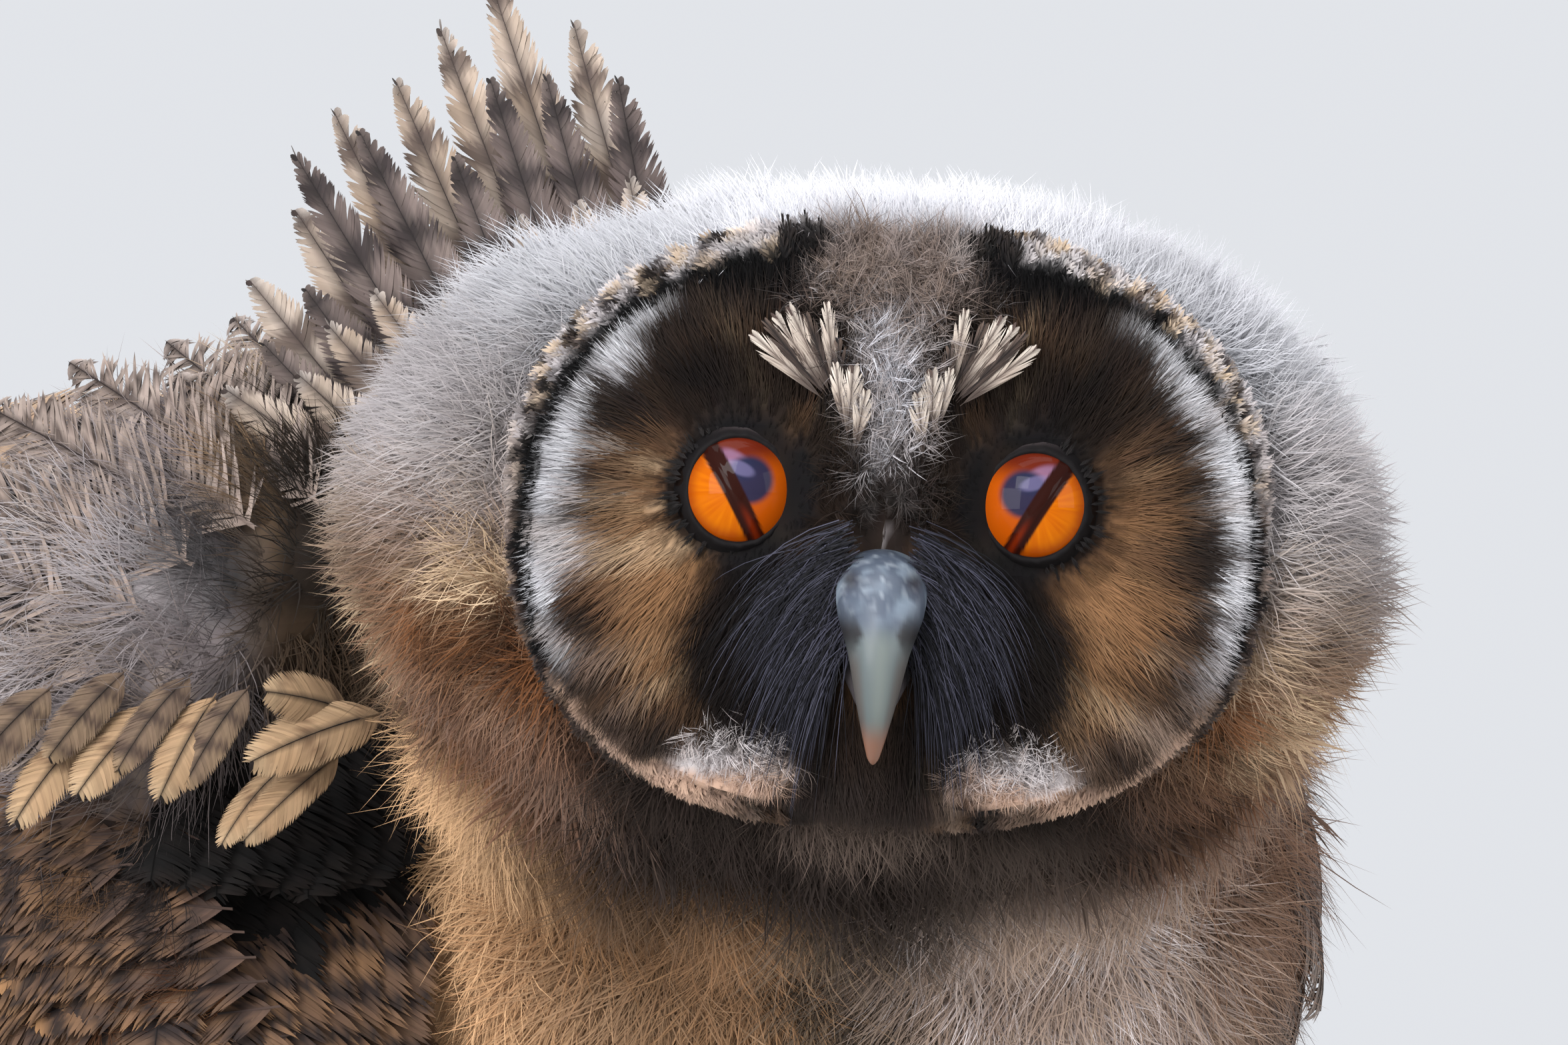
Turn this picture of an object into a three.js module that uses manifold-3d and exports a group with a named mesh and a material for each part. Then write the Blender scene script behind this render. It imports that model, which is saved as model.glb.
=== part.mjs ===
// A fledgling long-eared owl, life size, on a short cut perch held by a plain display stand.
// Millimetres, +Z up. The bird looks along -Y, so its right side is at -X.
// The origin is the middle of the underside of the stand's base.

import * as THREE from 'three';
import { mergeVertices } from 'three/addons/utils/BufferGeometryUtils.js';
import Module from 'manifold-3d';

const wasm = await Module();
wasm.setup();

// Driving dimensions

const GAP = 0.36; // clearance that touching pieces keep
const SHORTEST_EDGE = 0.02; // shorter edges are drawn together to a point

const BASE_RADIUS = 92;
const BASE_THICKNESS = 12;
const BASE_CHAMFER = 2;
const ROD_RADIUS = 3.5;
const ROD_SPACING = 92;
const PERCH_HEIGHT = 58;
const PERCH_RADIUS = 13;
const PERCH_LENGTH = 150;

const BODY_LEAN = 42; // degrees that the back rises above level
const BODY_HEIGHT = 96; // middle of the trunk above the perch
const BODY_SET_BACK = 14; // middle of the trunk behind the perch
const BREAST_HALF_WIDTH = 57;

const HEAD_SIDE = 4; // middle of the face to the bird's left of the perch's middle
const HEAD_FORWARD = 72; // middle of the head in front of the perch
const HEAD_HEIGHT = 156; // middle of the face above the perch
const HEAD_ROLL = 3; // degrees, the bird's left side lower
const HEAD_HALF_WIDTH = 61;
const CHEEK_HALF_WIDTH = 66; // the bird's right side, where the down is fluffed out
const CROWN_HEIGHT = 45;
const CHIN_DEPTH = 43;
const HEAD_HALF_LENGTH = 46;
const HEAD_SINK = 3; // middle of the skull below the middle of the face

const DISC_HALF_WIDTH = 44.2;
const DISC_HALF_HEIGHT = 37.5;
const DISC_SQUARENESS = 2.15;
const DISC_NOTCH = 4;
const FACE_FORWARD = 38; // how far the flat of the face stands before the head's middle

const EYE_SIDE = 17.3;
const EYE_HEIGHT = 2.3;
const EYE_RADIUS = 8.2;
const EYE_DEPTH = 27.2; // the ball's middle before the head's middle
const EYE_TURN = 8; // degrees that each eye looks outward
const LID_RADIUS = 6.9;
const LID_ROLL = 1.25;
const LID_FORWARD = 5.3; // the rim before the ball's middle

const BILL_LENGTH = 28;
const BILL_HALF_WIDTH = 5.5;

const TARSUS_SIDE = 20;
const TOE_RADIUS = 3.9;
const TALON_LENGTH = 14;
const TAIL_LENGTH = 95;
const TAIL_FEATHERS = 12;
const RUFF_FEATHERS = 24;

const VANE_THICKNESS = 0.75; // at the root, a little less at the tip
const COVERT_ROLL = 12; // degrees that a covert turns to lie under the next one
const TOP = PERCH_HEIGHT; // the wings' heights are given above the perch's middle

// Small tools

const { degToRad, lerp, clamp, smoothstep } = THREE.MathUtils;
const at = (x, y, z) => new THREE.Vector3(x, y, z);
const mixed = (a, b, share) => a.clone().lerp(b, share);
const bump = (distance, reach) => Math.exp(-((distance / reach) ** 2));

// Repeatable numbers from 0 to 1, so that like feathers differ a little.
function numberStream(seed) {
  let state = seed;
  return () => {
    state = (state * 1664525 + 1013904223) % 4294967296;
    return state / 4294967296;
  };
}

// Values that pass smoothly through the stations' values.
function through(stations, key) {
  const line = new THREE.CatmullRomCurve3(stations.map((one) => at(one[key], 0, 0)));
  return (share) => line.getPoint(share).x;
}

// A closed solid from points and triangles, turned face out where they run the other way.
function closedSolid(points, triangles) {
  const vertProperties = new Float32Array(points.flatMap((p) => p.toArray()));
  let volume = 0;
  for (const [a, b, c] of triangles) volume += points[a].dot(points[b].clone().cross(points[c]));
  const outward = ([a, b, c]) => (volume > 0 ? [a, b, c] : [a, c, b]);
  const triVerts = new Uint32Array(triangles.flatMap(outward));
  return new wasm.Manifold(new wasm.Mesh({ numProp: 3, vertProperties, triVerts }));
}

function solidOf(geometry) {
  const bare = new THREE.BufferGeometry();
  bare.setAttribute('position', geometry.getAttribute('position').clone());
  if (geometry.index) bare.setIndex(geometry.index.clone());
  const merged = mergeVertices(bare, 1e-4);
  return new wasm.Manifold(new wasm.Mesh({
    numProp: 3,
    vertProperties: new Float32Array(merged.getAttribute('position').array),
    triVerts: new Uint32Array(merged.index.array),
  }));
}

// The solid's surface, with edges too short to matter drawn together to one point.
function geometryOf(solid) {
  const mesh = solid.getMesh();
  const positions = new Float32Array(mesh.numVert * 3);
  for (let i = 0; i < mesh.numVert; i++) {
    for (let k = 0; k < 3; k++) positions[i * 3 + k] = mesh.vertProperties[i * mesh.numProp + k];
  }
  const point = (i) => at(...positions.subarray(i * 3, i * 3 + 3));
  const meets = Array.from({ length: mesh.numVert }, (_, i) => i);
  const met = (i) => (meets[i] === i ? i : met(meets[i]));
  for (let i = 0; i < mesh.triVerts.length; i += 3) {
    for (let k = 0; k < 3; k++) {
      const a = mesh.triVerts[i + k];
      const b = mesh.triVerts[i + ((k + 1) % 3)];
      if (met(a) !== met(b) && point(a).distanceTo(point(b)) < SHORTEST_EDGE) meets[met(b)] = met(a);
    }
  }
  const index = [];
  for (let i = 0; i < mesh.triVerts.length; i += 3) {
    const corners = [0, 1, 2].map((k) => met(mesh.triVerts[i + k]));
    if (new Set(corners).size === 3) index.push(...corners);
  }
  const geometry = new THREE.BufferGeometry();
  geometry.setAttribute('position', new THREE.BufferAttribute(positions, 3));
  geometry.setIndex(index);
  geometry.computeVertexNormals();
  return geometry;
}

// The same shape with its surface moved outward, to cut a neighbour clear of it.
function grown(solid, distance = GAP) {
  const geometry = geometryOf(solid);
  const position = geometry.getAttribute('position');
  const normal = geometry.getAttribute('normal');
  for (let i = 0; i < position.count; i++) {
    position.setXYZ(
      i,
      position.getX(i) + normal.getX(i) * distance,
      position.getY(i) + normal.getY(i) * distance,
      position.getZ(i) + normal.getZ(i) * distance,
    );
  }
  return solidOf(geometry);
}

const joined = (solids) => solids.reduce((sum, one) => sum.add(one));

// Only the largest closed surface, so that no scrap and no sealed hollow stays.
function largest(solid) {
  const pieces = solid.decompose();
  return pieces.reduce((best, one) => (one.volume() > best.volume() ? one : best));
}

function middle(ring) {
  return ring.reduce((sum, p) => sum.add(p), at(0, 0, 0)).divideScalar(ring.length);
}

// A closed skin over rings of equally many points, shut by a fan at each end.
function loft(rings, startPole = middle(rings[0]), endPole = middle(rings.at(-1))) {
  const around = rings[0].length;
  const points = [startPole, ...rings.flat(), endPole];
  const triangles = [];
  for (let j = 0; j < around; j++) {
    const k = (j + 1) % around;
    triangles.push([0, 1 + k, 1 + j]);
    for (let i = 0; i + 1 < rings.length; i++) {
      const a = 1 + i * around;
      const b = a + around;
      triangles.push([a + j, a + k, b + k], [a + j, b + k, b + j]);
    }
    const a = 1 + (rings.length - 1) * around;
    triangles.push([points.length - 1, a + j, a + k]);
  }
  return closedSolid(points, triangles);
}

// A rounded body along a path. Each station has a place, a half width to the side, and half heights
// above and below the path. roundStart and roundEnd are the shares of the path that close the ends.
const LIMB = { around: 20, rings: 10, roundStart: 0.2, roundEnd: 0.2, side: at(1, 0, 0) };

function limb(stations, options = {}) {
  const { around, rings, roundStart, roundEnd, side } = { ...LIMB, ...options };
  const path = new THREE.CatmullRomCurve3(stations.map((one) => one.place));
  const wide = through(stations, 'wide');
  const above = through(stations, 'above');
  const below = through(stations, 'below');
  const closing = (share, reach) => {
    const inside = clamp(share / reach, 0, 1);
    return Math.sqrt(1 - (1 - inside) ** 2);
  };
  const sections = [];
  for (let i = 1; i < rings; i++) {
    const share = (1 - Math.cos((Math.PI * i) / rings)) / 2;
    const tangent = path.getTangent(share);
    const across = side.clone().addScaledVector(tangent, -side.dot(tangent)).normalize();
    const up = across.clone().cross(tangent).normalize();
    const size = closing(share, roundStart) * closing(1 - share, roundEnd);
    const centre = path.getPoint(share);
    const ring = [];
    for (let j = 0; j < around; j++) {
      const angle = (2 * Math.PI * j) / around;
      const lift = Math.sin(angle) > 0 ? above(share) : below(share);
      ring.push(centre.clone()
        .addScaledVector(across, Math.cos(angle) * wide(share) * size)
        .addScaledVector(up, Math.sin(angle) * lift * size));
    }
    sections.push(ring);
  }
  return loft(sections, path.getPoint(0), path.getPoint(1));
}

// Feathers

const FLIGHT_BLADE = [[0, 0.45], [0.4, 1], [0.86, 0.86], [1, 0.22]];
const COVERT_BLADE = [[0, 0.75], [0.7, 1], [1, 0.3]];
const LOCK_BLADE = [[0, 0.7], [0.4, 1], [1, 0.14]];

// A thin closed plate over a grid of places, each with the way up there and half the thickness. Both
// faces are split into triangles alike, so that they never cross.
function plate(rows) {
  const count = rows[0].length;
  const places = rows.flat();
  const under = places.length;
  const points = [1, -1].flatMap((way) => places.map(({ point, up, half }) => (
    point.clone().addScaledVector(up, way * half)
  )));
  const triangles = [];
  const wall = (a, b) => triangles.push([a, b, under + b], [a, under + b, under + a]);
  for (let i = 0; i + 1 < rows.length; i++) {
    const left = i * count;
    for (let a = left; a + 1 < left + count; a++) {
      const b = a + count;
      triangles.push([a, a + 1, b + 1], [a, b + 1, b]);
      triangles.push([under + a, under + b + 1, under + a + 1], [under + a, under + b, under + b + 1]);
    }
    wall(left, left + count);
    wall(left + 2 * count - 1, left + count - 1);
  }
  const end = places.length - count;
  for (let j = 0; j + 1 < count; j++) {
    wall(j + 1, j);
    wall(end + j, end + j + 1);
  }
  return closedSolid(points, triangles);
}

// One thin vane from root to tip. face is the way its upper side looks, bow lifts its middle and
// roll turns it about its shaft.
function vane(root, tip, face, { wide, thick = VANE_THICKNESS, bow = 0, roll = 0, blade = FLIGHT_BLADE }) {
  const shaft = tip.clone().sub(root);
  const length = shaft.length();
  shaft.normalize();
  const up = face.clone().addScaledVector(shaft, -face.dot(shaft)).normalize();
  up.applyAxisAngle(shaft, degToRad(roll));
  const across = shaft.clone().cross(up);
  return plate(blade.map(([share, width]) => [-1, 1].map((edge) => ({
    point: mixed(root, tip, share)
      .addScaledVector(up, bow * length * 4 * share * (1 - share))
      .addScaledVector(across, (edge * width * wide) / 2),
    up,
    half: (thick / 2) * lerp(1, 0.7, share),
  }))));
}

// The places of a fan's feathers, from its line of roots to its line of tips. Each feather lies a
// step above the one before it, less at the root than at the tip, so that they don't cross. order
// gives another stacking, by the number of steps from the middle layer.
function fanPlaces(fan) {
  const curve = (line) => new THREE.CatmullRomCurve3(line);
  const [roots, tips, faces] = [fan.roots, fan.tips, fan.faces].map(curve);
  const order = fan.order ?? ((i) => i - (fan.count - 1) / 2);
  const [rootStep, tipStep] = fan.steps ?? [0, 0];
  return Array.from({ length: fan.count }, (_, i) => {
    const share = i / (fan.count - 1);
    const face = faces.getPoint(share).normalize();
    return {
      root: roots.getPoint(share).addScaledVector(face, order(i) * rootStep),
      tip: tips.getPoint(share).addScaledVector(face, order(i) * tipStep),
      face,
      wide: lerp(fan.wide[0], fan.wide[1], share),
    };
  });
}

// A fan of overlapping vanes. Each is rolled a little, so that it lies under the next one.
function feathers(fan) {
  const draw = numberStream(fan.seed ?? 1);
  return fanPlaces(fan).map(({ root, tip, face, wide }) => {
    const length = 1 + (fan.uneven ?? 0.03) * (2 * draw() - 1);
    const end = root.clone().lerp(tip, length);
    return vane(root, end, face, { ...fan, wide: wide * (0.96 + 0.08 * draw()) });
  });
}

// Stand and perch

function standBase() {
  const profile = [
    [0, 0],
    [BASE_RADIUS, 0],
    [BASE_RADIUS, BASE_THICKNESS - BASE_CHAMFER],
    [BASE_RADIUS - BASE_CHAMFER, BASE_THICKNESS],
    [0, BASE_THICKNESS],
  ];
  const outline = profile.map(([radius, height]) => new THREE.Vector2(radius, height));
  return solidOf(new THREE.LatheGeometry(outline, 40).rotateX(Math.PI / 2));
}

// A cut length of branch with uneven bark, along X.
function perch() {
  const draw = numberStream(11);
  const turns = 16;
  const lengths = 12;
  const rings = Array.from({ length: lengths }, (_, i) => {
    const along = lerp(-PERCH_LENGTH / 2, PERCH_LENGTH / 2, i / (lengths - 1));
    return Array.from({ length: turns }, (_, j) => {
      const angle = (2 * Math.PI * j) / turns;
      const radius = PERCH_RADIUS - 0.9 * draw() - 0.5 * (1 + Math.sin(along / 17));
      return at(along, radius * Math.cos(angle), PERCH_HEIGHT + radius * Math.sin(angle));
    });
  });
  return loft(rings);
}

function standRod(perchSolid) {
  const length = PERCH_HEIGHT - BASE_THICKNESS - GAP;
  const rod = new THREE.CylinderGeometry(ROD_RADIUS, ROD_RADIUS, length, 16).rotateX(Math.PI / 2);
  return (side) => {
    const placed = rod.clone().translate((side * ROD_SPACING) / 2, 0, BASE_THICKNESS + GAP + length / 2);
    return largest(solidOf(placed).subtract(grown(perchSolid)));
  };
}

// Trunk. Its own directions: forward along the leaning back, and back away from the belly.

const bodyMiddle = at(0, BODY_SET_BACK, PERCH_HEIGHT + BODY_HEIGHT);
const bodyForward = at(0, -Math.cos(degToRad(BODY_LEAN)), Math.sin(degToRad(BODY_LEAN)));
const bodyBack = at(0, Math.sin(degToRad(BODY_LEAN)), Math.cos(degToRad(BODY_LEAN)));
const onBody = (forward, back, side = 0) => bodyMiddle.clone()
  .addScaledVector(bodyForward, forward)
  .addScaledVector(bodyBack, back)
  .add(at(side, 0, 0));

function trunk() {
  const broad = BREAST_HALF_WIDTH;
  return limb([
    { place: onBody(-80, 10), wide: broad * 0.36, above: 20, below: 18 },
    { place: onBody(-52, 4), wide: broad * 0.58, above: 28, below: 29 },
    { place: onBody(-20, 0), wide: broad * 0.86, above: 39, below: 43 },
    { place: onBody(12, 0), wide: broad * 0.99, above: 43, below: 49 },
    { place: onBody(42, 2), wide: broad * 0.99, above: 42, below: 50 },
    { place: onBody(78, 8), wide: broad * 0.8, above: 34, below: 44 },
  ], { around: 20, rings: 12, roundStart: 0.24, roundEnd: 0.2 });
}

// Head. Its own frame: +X to the bird's left, -Y forward, +Z up, from the middle of the face.

const headMiddle = at(HEAD_SIDE, -HEAD_FORWARD, PERCH_HEIGHT + HEAD_HEIGHT);
const headGroup = new THREE.Group();
headGroup.position.copy(headMiddle);
headGroup.rotation.y = degToRad(HEAD_ROLL);
headGroup.updateMatrixWorld();
const inWorld = (solid) => solid.transform(headGroup.matrixWorld.elements);

// How far the rim of the face lies from its middle, in each direction.
function discReach(angle) {
  const across = Math.abs(Math.cos(angle) / DISC_HALF_WIDTH) ** DISC_SQUARENESS;
  const up = Math.abs(Math.sin(angle) / DISC_HALF_HEIGHT) ** DISC_SQUARENESS;
  const notch = DISC_NOTCH * bump(Math.cos(angle), 0.24);
  return (across + up) ** (-1 / DISC_SQUARENESS) - notch;
}

// How far the face stands forward of the head's middle: a low dome with a dish round each eye, a
// ridge from the brow to the bill, and a raised rim.
function faceForward(x, z) {
  const share = Math.hypot(x, z) / discReach(Math.atan2(z, x));
  const dome = FACE_FORWARD - (x * x) / 210 - (z * z) / 190;
  const fromEye = Math.hypot(Math.abs(x) - EYE_SIDE - 3, z - EYE_HEIGHT + 1);
  const dish = 5.5 * bump(fromEye, 15);
  const ridge = 3.2 * bump(x, 8) * bump(z - 2, 20);
  const rim = 2.2 * smoothstep(share, 0.84, 1);
  return dome - dish + ridge + rim;
}

function headCore() {
  const around = 30;
  const faceRings = 6;
  const skullRings = 7;
  const rings = [];
  for (let i = 1; i <= faceRings; i++) {
    rings.push(Array.from({ length: around }, (_, j) => {
      const angle = (2 * Math.PI * j) / around;
      const reach = (discReach(angle) * i) / faceRings;
      const x = reach * Math.cos(angle);
      const z = reach * Math.sin(angle);
      return at(x, -faceForward(x, z), z);
    }));
  }
  for (let i = 1; i < skullRings; i++) {
    rings.push(Array.from({ length: around }, (_, j) => {
      const angle = (2 * Math.PI * j) / around;
      const height = Math.sin(angle) > 0 ? CROWN_HEIGHT : CHIN_DEPTH;
      const width = Math.cos(angle) > 0 ? HEAD_HALF_WIDTH : CHEEK_HALF_WIDTH;
      const outline = 1 / Math.hypot(Math.cos(angle) / width, Math.sin(angle) / height);
      const rimTurn = Math.asin(discReach(angle) / outline);
      const turn = lerp(rimTurn, Math.PI, (i + 0.4) / (skullRings + 0.4));
      const reach = outline * Math.sin(turn);
      const sink = HEAD_SINK * smoothstep(i, 0, 4);
      return at(reach * Math.cos(angle), -HEAD_HALF_LENGTH * Math.cos(turn), reach * Math.sin(angle) - sink);
    }));
  }
  return loft(rings, at(0, -faceForward(0, 0), 0), at(0, HEAD_HALF_LENGTH, -HEAD_SINK));
}

const eyePlace = (side) => at(side * EYE_SIDE, -EYE_DEPTH, EYE_HEIGHT);
const eyeAim = (side) => at(side * Math.sin(degToRad(EYE_TURN)), -Math.cos(degToRad(EYE_TURN)), 0);

function ball(radius, place, turns = 14) {
  const sphere = new THREE.SphereGeometry(radius, turns, Math.round(turns * 0.6)).rotateX(Math.PI / 2);
  return solidOf(sphere.translate(place.x, place.y, place.z));
}

// The raised bare rim of the lids round an eye.
function lid(side) {
  const ring = new THREE.TorusGeometry(LID_RADIUS, LID_ROLL, 4, 14);
  const turn = new THREE.Quaternion().setFromUnitVectors(at(0, 0, 1), eyeAim(side));
  const place = eyePlace(side).addScaledVector(eyeAim(side), LID_FORWARD);
  return solidOf(ring.applyQuaternion(turn).translate(place.x, place.y, place.z));
}

// The upper bill, from inside the brow forward and down to its hooked tip.
function upperBill() {
  const tip = -BILL_LENGTH - 1;
  return limb([
    { place: at(0, -29, -8), wide: BILL_HALF_WIDTH, above: 6.6, below: 4 },
    { place: at(0, -37.5, -8.2), wide: BILL_HALF_WIDTH, above: 6.3, below: 4.2 },
    { place: at(0, -43, -11), wide: BILL_HALF_WIDTH * 0.93, above: 5.2, below: 4.2 },
    { place: at(0, -45.8, -16), wide: BILL_HALF_WIDTH * 0.72, above: 4.1, below: 3.6 },
    { place: at(0, -45.6, -21.5), wide: BILL_HALF_WIDTH * 0.5, above: 2.9, below: 2.6 },
    { place: at(0, -43.6, -26), wide: BILL_HALF_WIDTH * 0.28, above: 1.6, below: 1.4 },
    { place: at(0, -42, tip), wide: 0.5, above: 0.5, below: 0.5 },
  ], { around: 12, rings: 11, roundStart: 0.02, roundEnd: 0.06 });
}

function nostril(side) {
  return ball(1.25, at(side * 3.9, -41.6, -6.6), 10);
}

// The lower bill lies behind the upper one's cutting edge.
function lowerBill() {
  return limb([
    { place: at(0, -28, -17), wide: 4.4, above: 2.6, below: 3 },
    { place: at(0, -35, -18.5), wide: 4, above: 2.2, below: 2.8 },
    { place: at(0, -40, -21.5), wide: 2.6, above: 1.6, below: 2 },
    { place: at(0, -41.5, -25), wide: 0.8, above: 0.6, below: 0.8 },
  ], { around: 12, rings: 8, roundStart: 0.02, roundEnd: 0.15 });
}

// The line of the mouth runs back from the bill on each side.
function mouthLine(side) {
  return vane(
    at(side * 2, -43, -18.5), at(side * 9.5, -31, -11.5), at(0, 0, 1),
    { wide: 12, thick: 0.9, blade: [[0, 1], [1, 0.4]] },
  );
}

function neckCore() {
  return limb([
    { place: at(0, 4, PERCH_HEIGHT + 120), wide: 46, above: 30, below: 34 },
    { place: at(0, -22, PERCH_HEIGHT + 130), wide: 55, above: 36, below: 42 },
    { place: at(1, -48, PERCH_HEIGHT + 138), wide: 58, above: 38, below: 44 },
    { place: at(2, -72, PERCH_HEIGHT + 142), wide: 54, above: 34, below: 40 },
    { place: at(3, -92, PERCH_HEIGHT + 144), wide: 40, above: 22, below: 30 },
  ], { around: 20, rings: 8, roundStart: 0.25, roundEnd: 0.3 });
}

// Legs and feet

function thighCore(side) {
  return limb([
    { place: at(side * 26, -8, PERCH_HEIGHT + 74), wide: 19, above: 20, below: 20 },
    { place: at(side * 23, 4, PERCH_HEIGHT + 58), wide: 16, above: 17, below: 17 },
    { place: at(side * 21, 16, PERCH_HEIGHT + 42), wide: 10, above: 11, below: 10 },
  ], { around: 16, rings: 8, roundStart: 0.3, roundEnd: 0.3 });
}

// A toe or talon wraps the perch. turn is the angle from the top, forward for +1 and back for -1.
function wrapPlace(side, way, splay, turn, reach) {
  const across = side * TARSUS_SIDE + splay * (2.5 + 0.1 * turn);
  const angle = degToRad(turn);
  return at(across, -way * reach * Math.sin(angle), PERCH_HEIGHT + reach * Math.cos(angle));
}

const TOES = [
  { name: 'front_inner', way: 1, splay: -1, length: 78 },
  { name: 'front_outer', way: 1, splay: 1, length: 72 },
  { name: 'back_inner', way: -1, splay: -1, length: 56 },
  { name: 'back_outer', way: -1, splay: 1, length: 62 },
];
const TOE_REACH = PERCH_RADIUS + GAP + TOE_RADIUS + 0.3;

function toe(side, { way, splay, length }) {
  const places = [-8, length * 0.35, length * 0.7, length].map((turn, i) => ({
    place: wrapPlace(side, way, side * splay, turn, TOE_REACH - 0.25 * i),
    wide: TOE_RADIUS - 0.3 * i,
    above: TOE_RADIUS - 0.35 * i,
    below: TOE_RADIUS - 0.35 * i,
  }));
  return limb(places, { around: 8, rings: 6, roundStart: 0.25, roundEnd: 0.12 });
}

function talon(side, { way, splay, length }) {
  const sweep = degToRad(1) * TOE_REACH;
  const places = [-6, 0, 0.34, 0.68, 1].map((share, i) => {
    const turn = i === 0 ? length - 9 : length + (share * TALON_LENGTH) / sweep;
    return {
      place: wrapPlace(side, way, side * splay, turn, TOE_REACH - 0.6 - 1.3 * clamp(share, 0, 1)),
      wide: [2, 2, 1.5, 0.95, 0.4][i],
      above: [2, 2, 1.5, 0.95, 0.4][i],
      below: [2, 2, 1.5, 0.95, 0.4][i],
    };
  });
  return limb(places, { around: 6, rings: 6, roundStart: 0.05, roundEnd: 0.08 });
}

function footCore(side) {
  const tarsus = limb([
    { place: at(side * 21, 19, PERCH_HEIGHT + 50), wide: 7, above: 8, below: 7 },
    { place: at(side * 20.5, 10, PERCH_HEIGHT + 34), wide: 6, above: 6.5, below: 6.5 },
    { place: at(side * 20, 1, PERCH_HEIGHT + 19), wide: 6.5, above: 6, below: 6 },
  ], { around: 10, rings: 6, roundStart: 0.15, roundEnd: 0.35 });
  return joined([tarsus, ...TOES.map((one) => toe(side, one))]);
}

// Tail

const tailRoot = onBody(-72, 8);
const tailAim = at(0, Math.cos(degToRad(36)), -Math.sin(degToRad(36)));
const tailUp = at(0, Math.sin(degToRad(36)), Math.cos(degToRad(36)));

function tailCore() {
  return limb([
    { place: tailRoot.clone().addScaledVector(tailAim, -14), wide: 17, above: 13, below: 13 },
    { place: tailRoot.clone().addScaledVector(tailAim, 8), wide: 16, above: 10, below: 11 },
    { place: tailRoot.clone().addScaledVector(tailAim, 34), wide: 15, above: 5, below: 6 },
  ], { around: 12, rings: 6, roundStart: 0.2, roundEnd: 0.35 });
}

const onTail = (side, along, up = 0) => tailRoot.clone()
  .addScaledVector(tailAim, along)
  .addScaledVector(tailUp, up)
  .add(at(side, 0, 0));

const tailFan = {
  count: TAIL_FEATHERS,
  roots: [onTail(-10, 8, -1), onTail(0, 8, 1), onTail(10, 8, -1)],
  tips: [onTail(-31, TAIL_LENGTH - 12, -2), onTail(0, TAIL_LENGTH, 1), onTail(31, TAIL_LENGTH - 12, -2)],
  faces: [-20, 0, 20].map((tilt) => tailUp.clone().applyAxisAngle(tailAim, degToRad(tilt))),
  wide: [16, 16],
  bow: -0.03,
  order: (i) => -Math.abs(i - (TAIL_FEATHERS - 1.2) / 2),
  steps: [0.7, 0.95],
};

// Wings. A wing is a run of blade-shaped sections from its leading edge back over its coverts.
// Each section: the leading edge's place, the way its feathers point, the way its upper side looks,
// its thickness and how far the coverts reach.
const WING_TRAILING_SHARE = 0.42; // thickness at the coverts' end as a share of the section's own

function wing(sections) {
  const curve = (key) => new THREE.CatmullRomCurve3(sections.map((one) => one[key]));
  const [edge, aim, face] = ['edge', 'aim', 'face'].map(curve);
  const thick = through(sections, 'thick');
  const cover = through(sections, 'cover');
  const upAt = (share) => {
    const out = aim.getPoint(share).normalize();
    const up = face.getPoint(share);
    return up.addScaledVector(out, -up.dot(out)).normalize();
  };
  const halfAt = (share, along) => (
    thick(share) * Math.sqrt(Math.max(along * (1 - along), 0)) * lerp(1.15, WING_TRAILING_SHARE, along)
  );
  // A place at a share of the span and of the coverts' reach, raised above the wing's middle plane.
  const onWing = (share, along, raised = 0) => edge.getPoint(share)
    .addScaledVector(aim.getPoint(share).normalize(), along * cover(share))
    .addScaledVector(upAt(share), raised);
  const onTop = (share, along, raised = 0) => onWing(share, along, halfAt(share, along) + raised);
  const core = (rings, around) => loft(Array.from({ length: rings }, (_, i) => {
    const share = i / (rings - 1);
    return Array.from({ length: around }, (_, j) => {
      const angle = (2 * Math.PI * (j + 0.5)) / around;
      const along = (1 - Math.cos(angle)) / 2;
      return onWing(share, along, Math.sign(Math.sin(angle)) * halfAt(share, along));
    });
  }));
  return { upAt, onWing, onTop, core };
}

// A tier of covert feathers that lie over a wing from one share of its coverts to another.
const TIER_SHARES = [0.04, 0.35, 0.65, 0.96];
const tier = (frame, { from, to, raised, ...rest }) => ({
  roots: TIER_SHARES.map((share) => frame.onTop(share, from, -1.6)),
  tips: TIER_SHARES.map((share) => frame.onTop(share, Math.min(to, 1), raised)
    .add(frame.onWing(share, to).sub(frame.onWing(share, Math.min(to, 1))))),
  faces: TIER_SHARES.map((share) => frame.upAt(share)),
  blade: COVERT_BLADE,
  ...rest,
});

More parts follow.
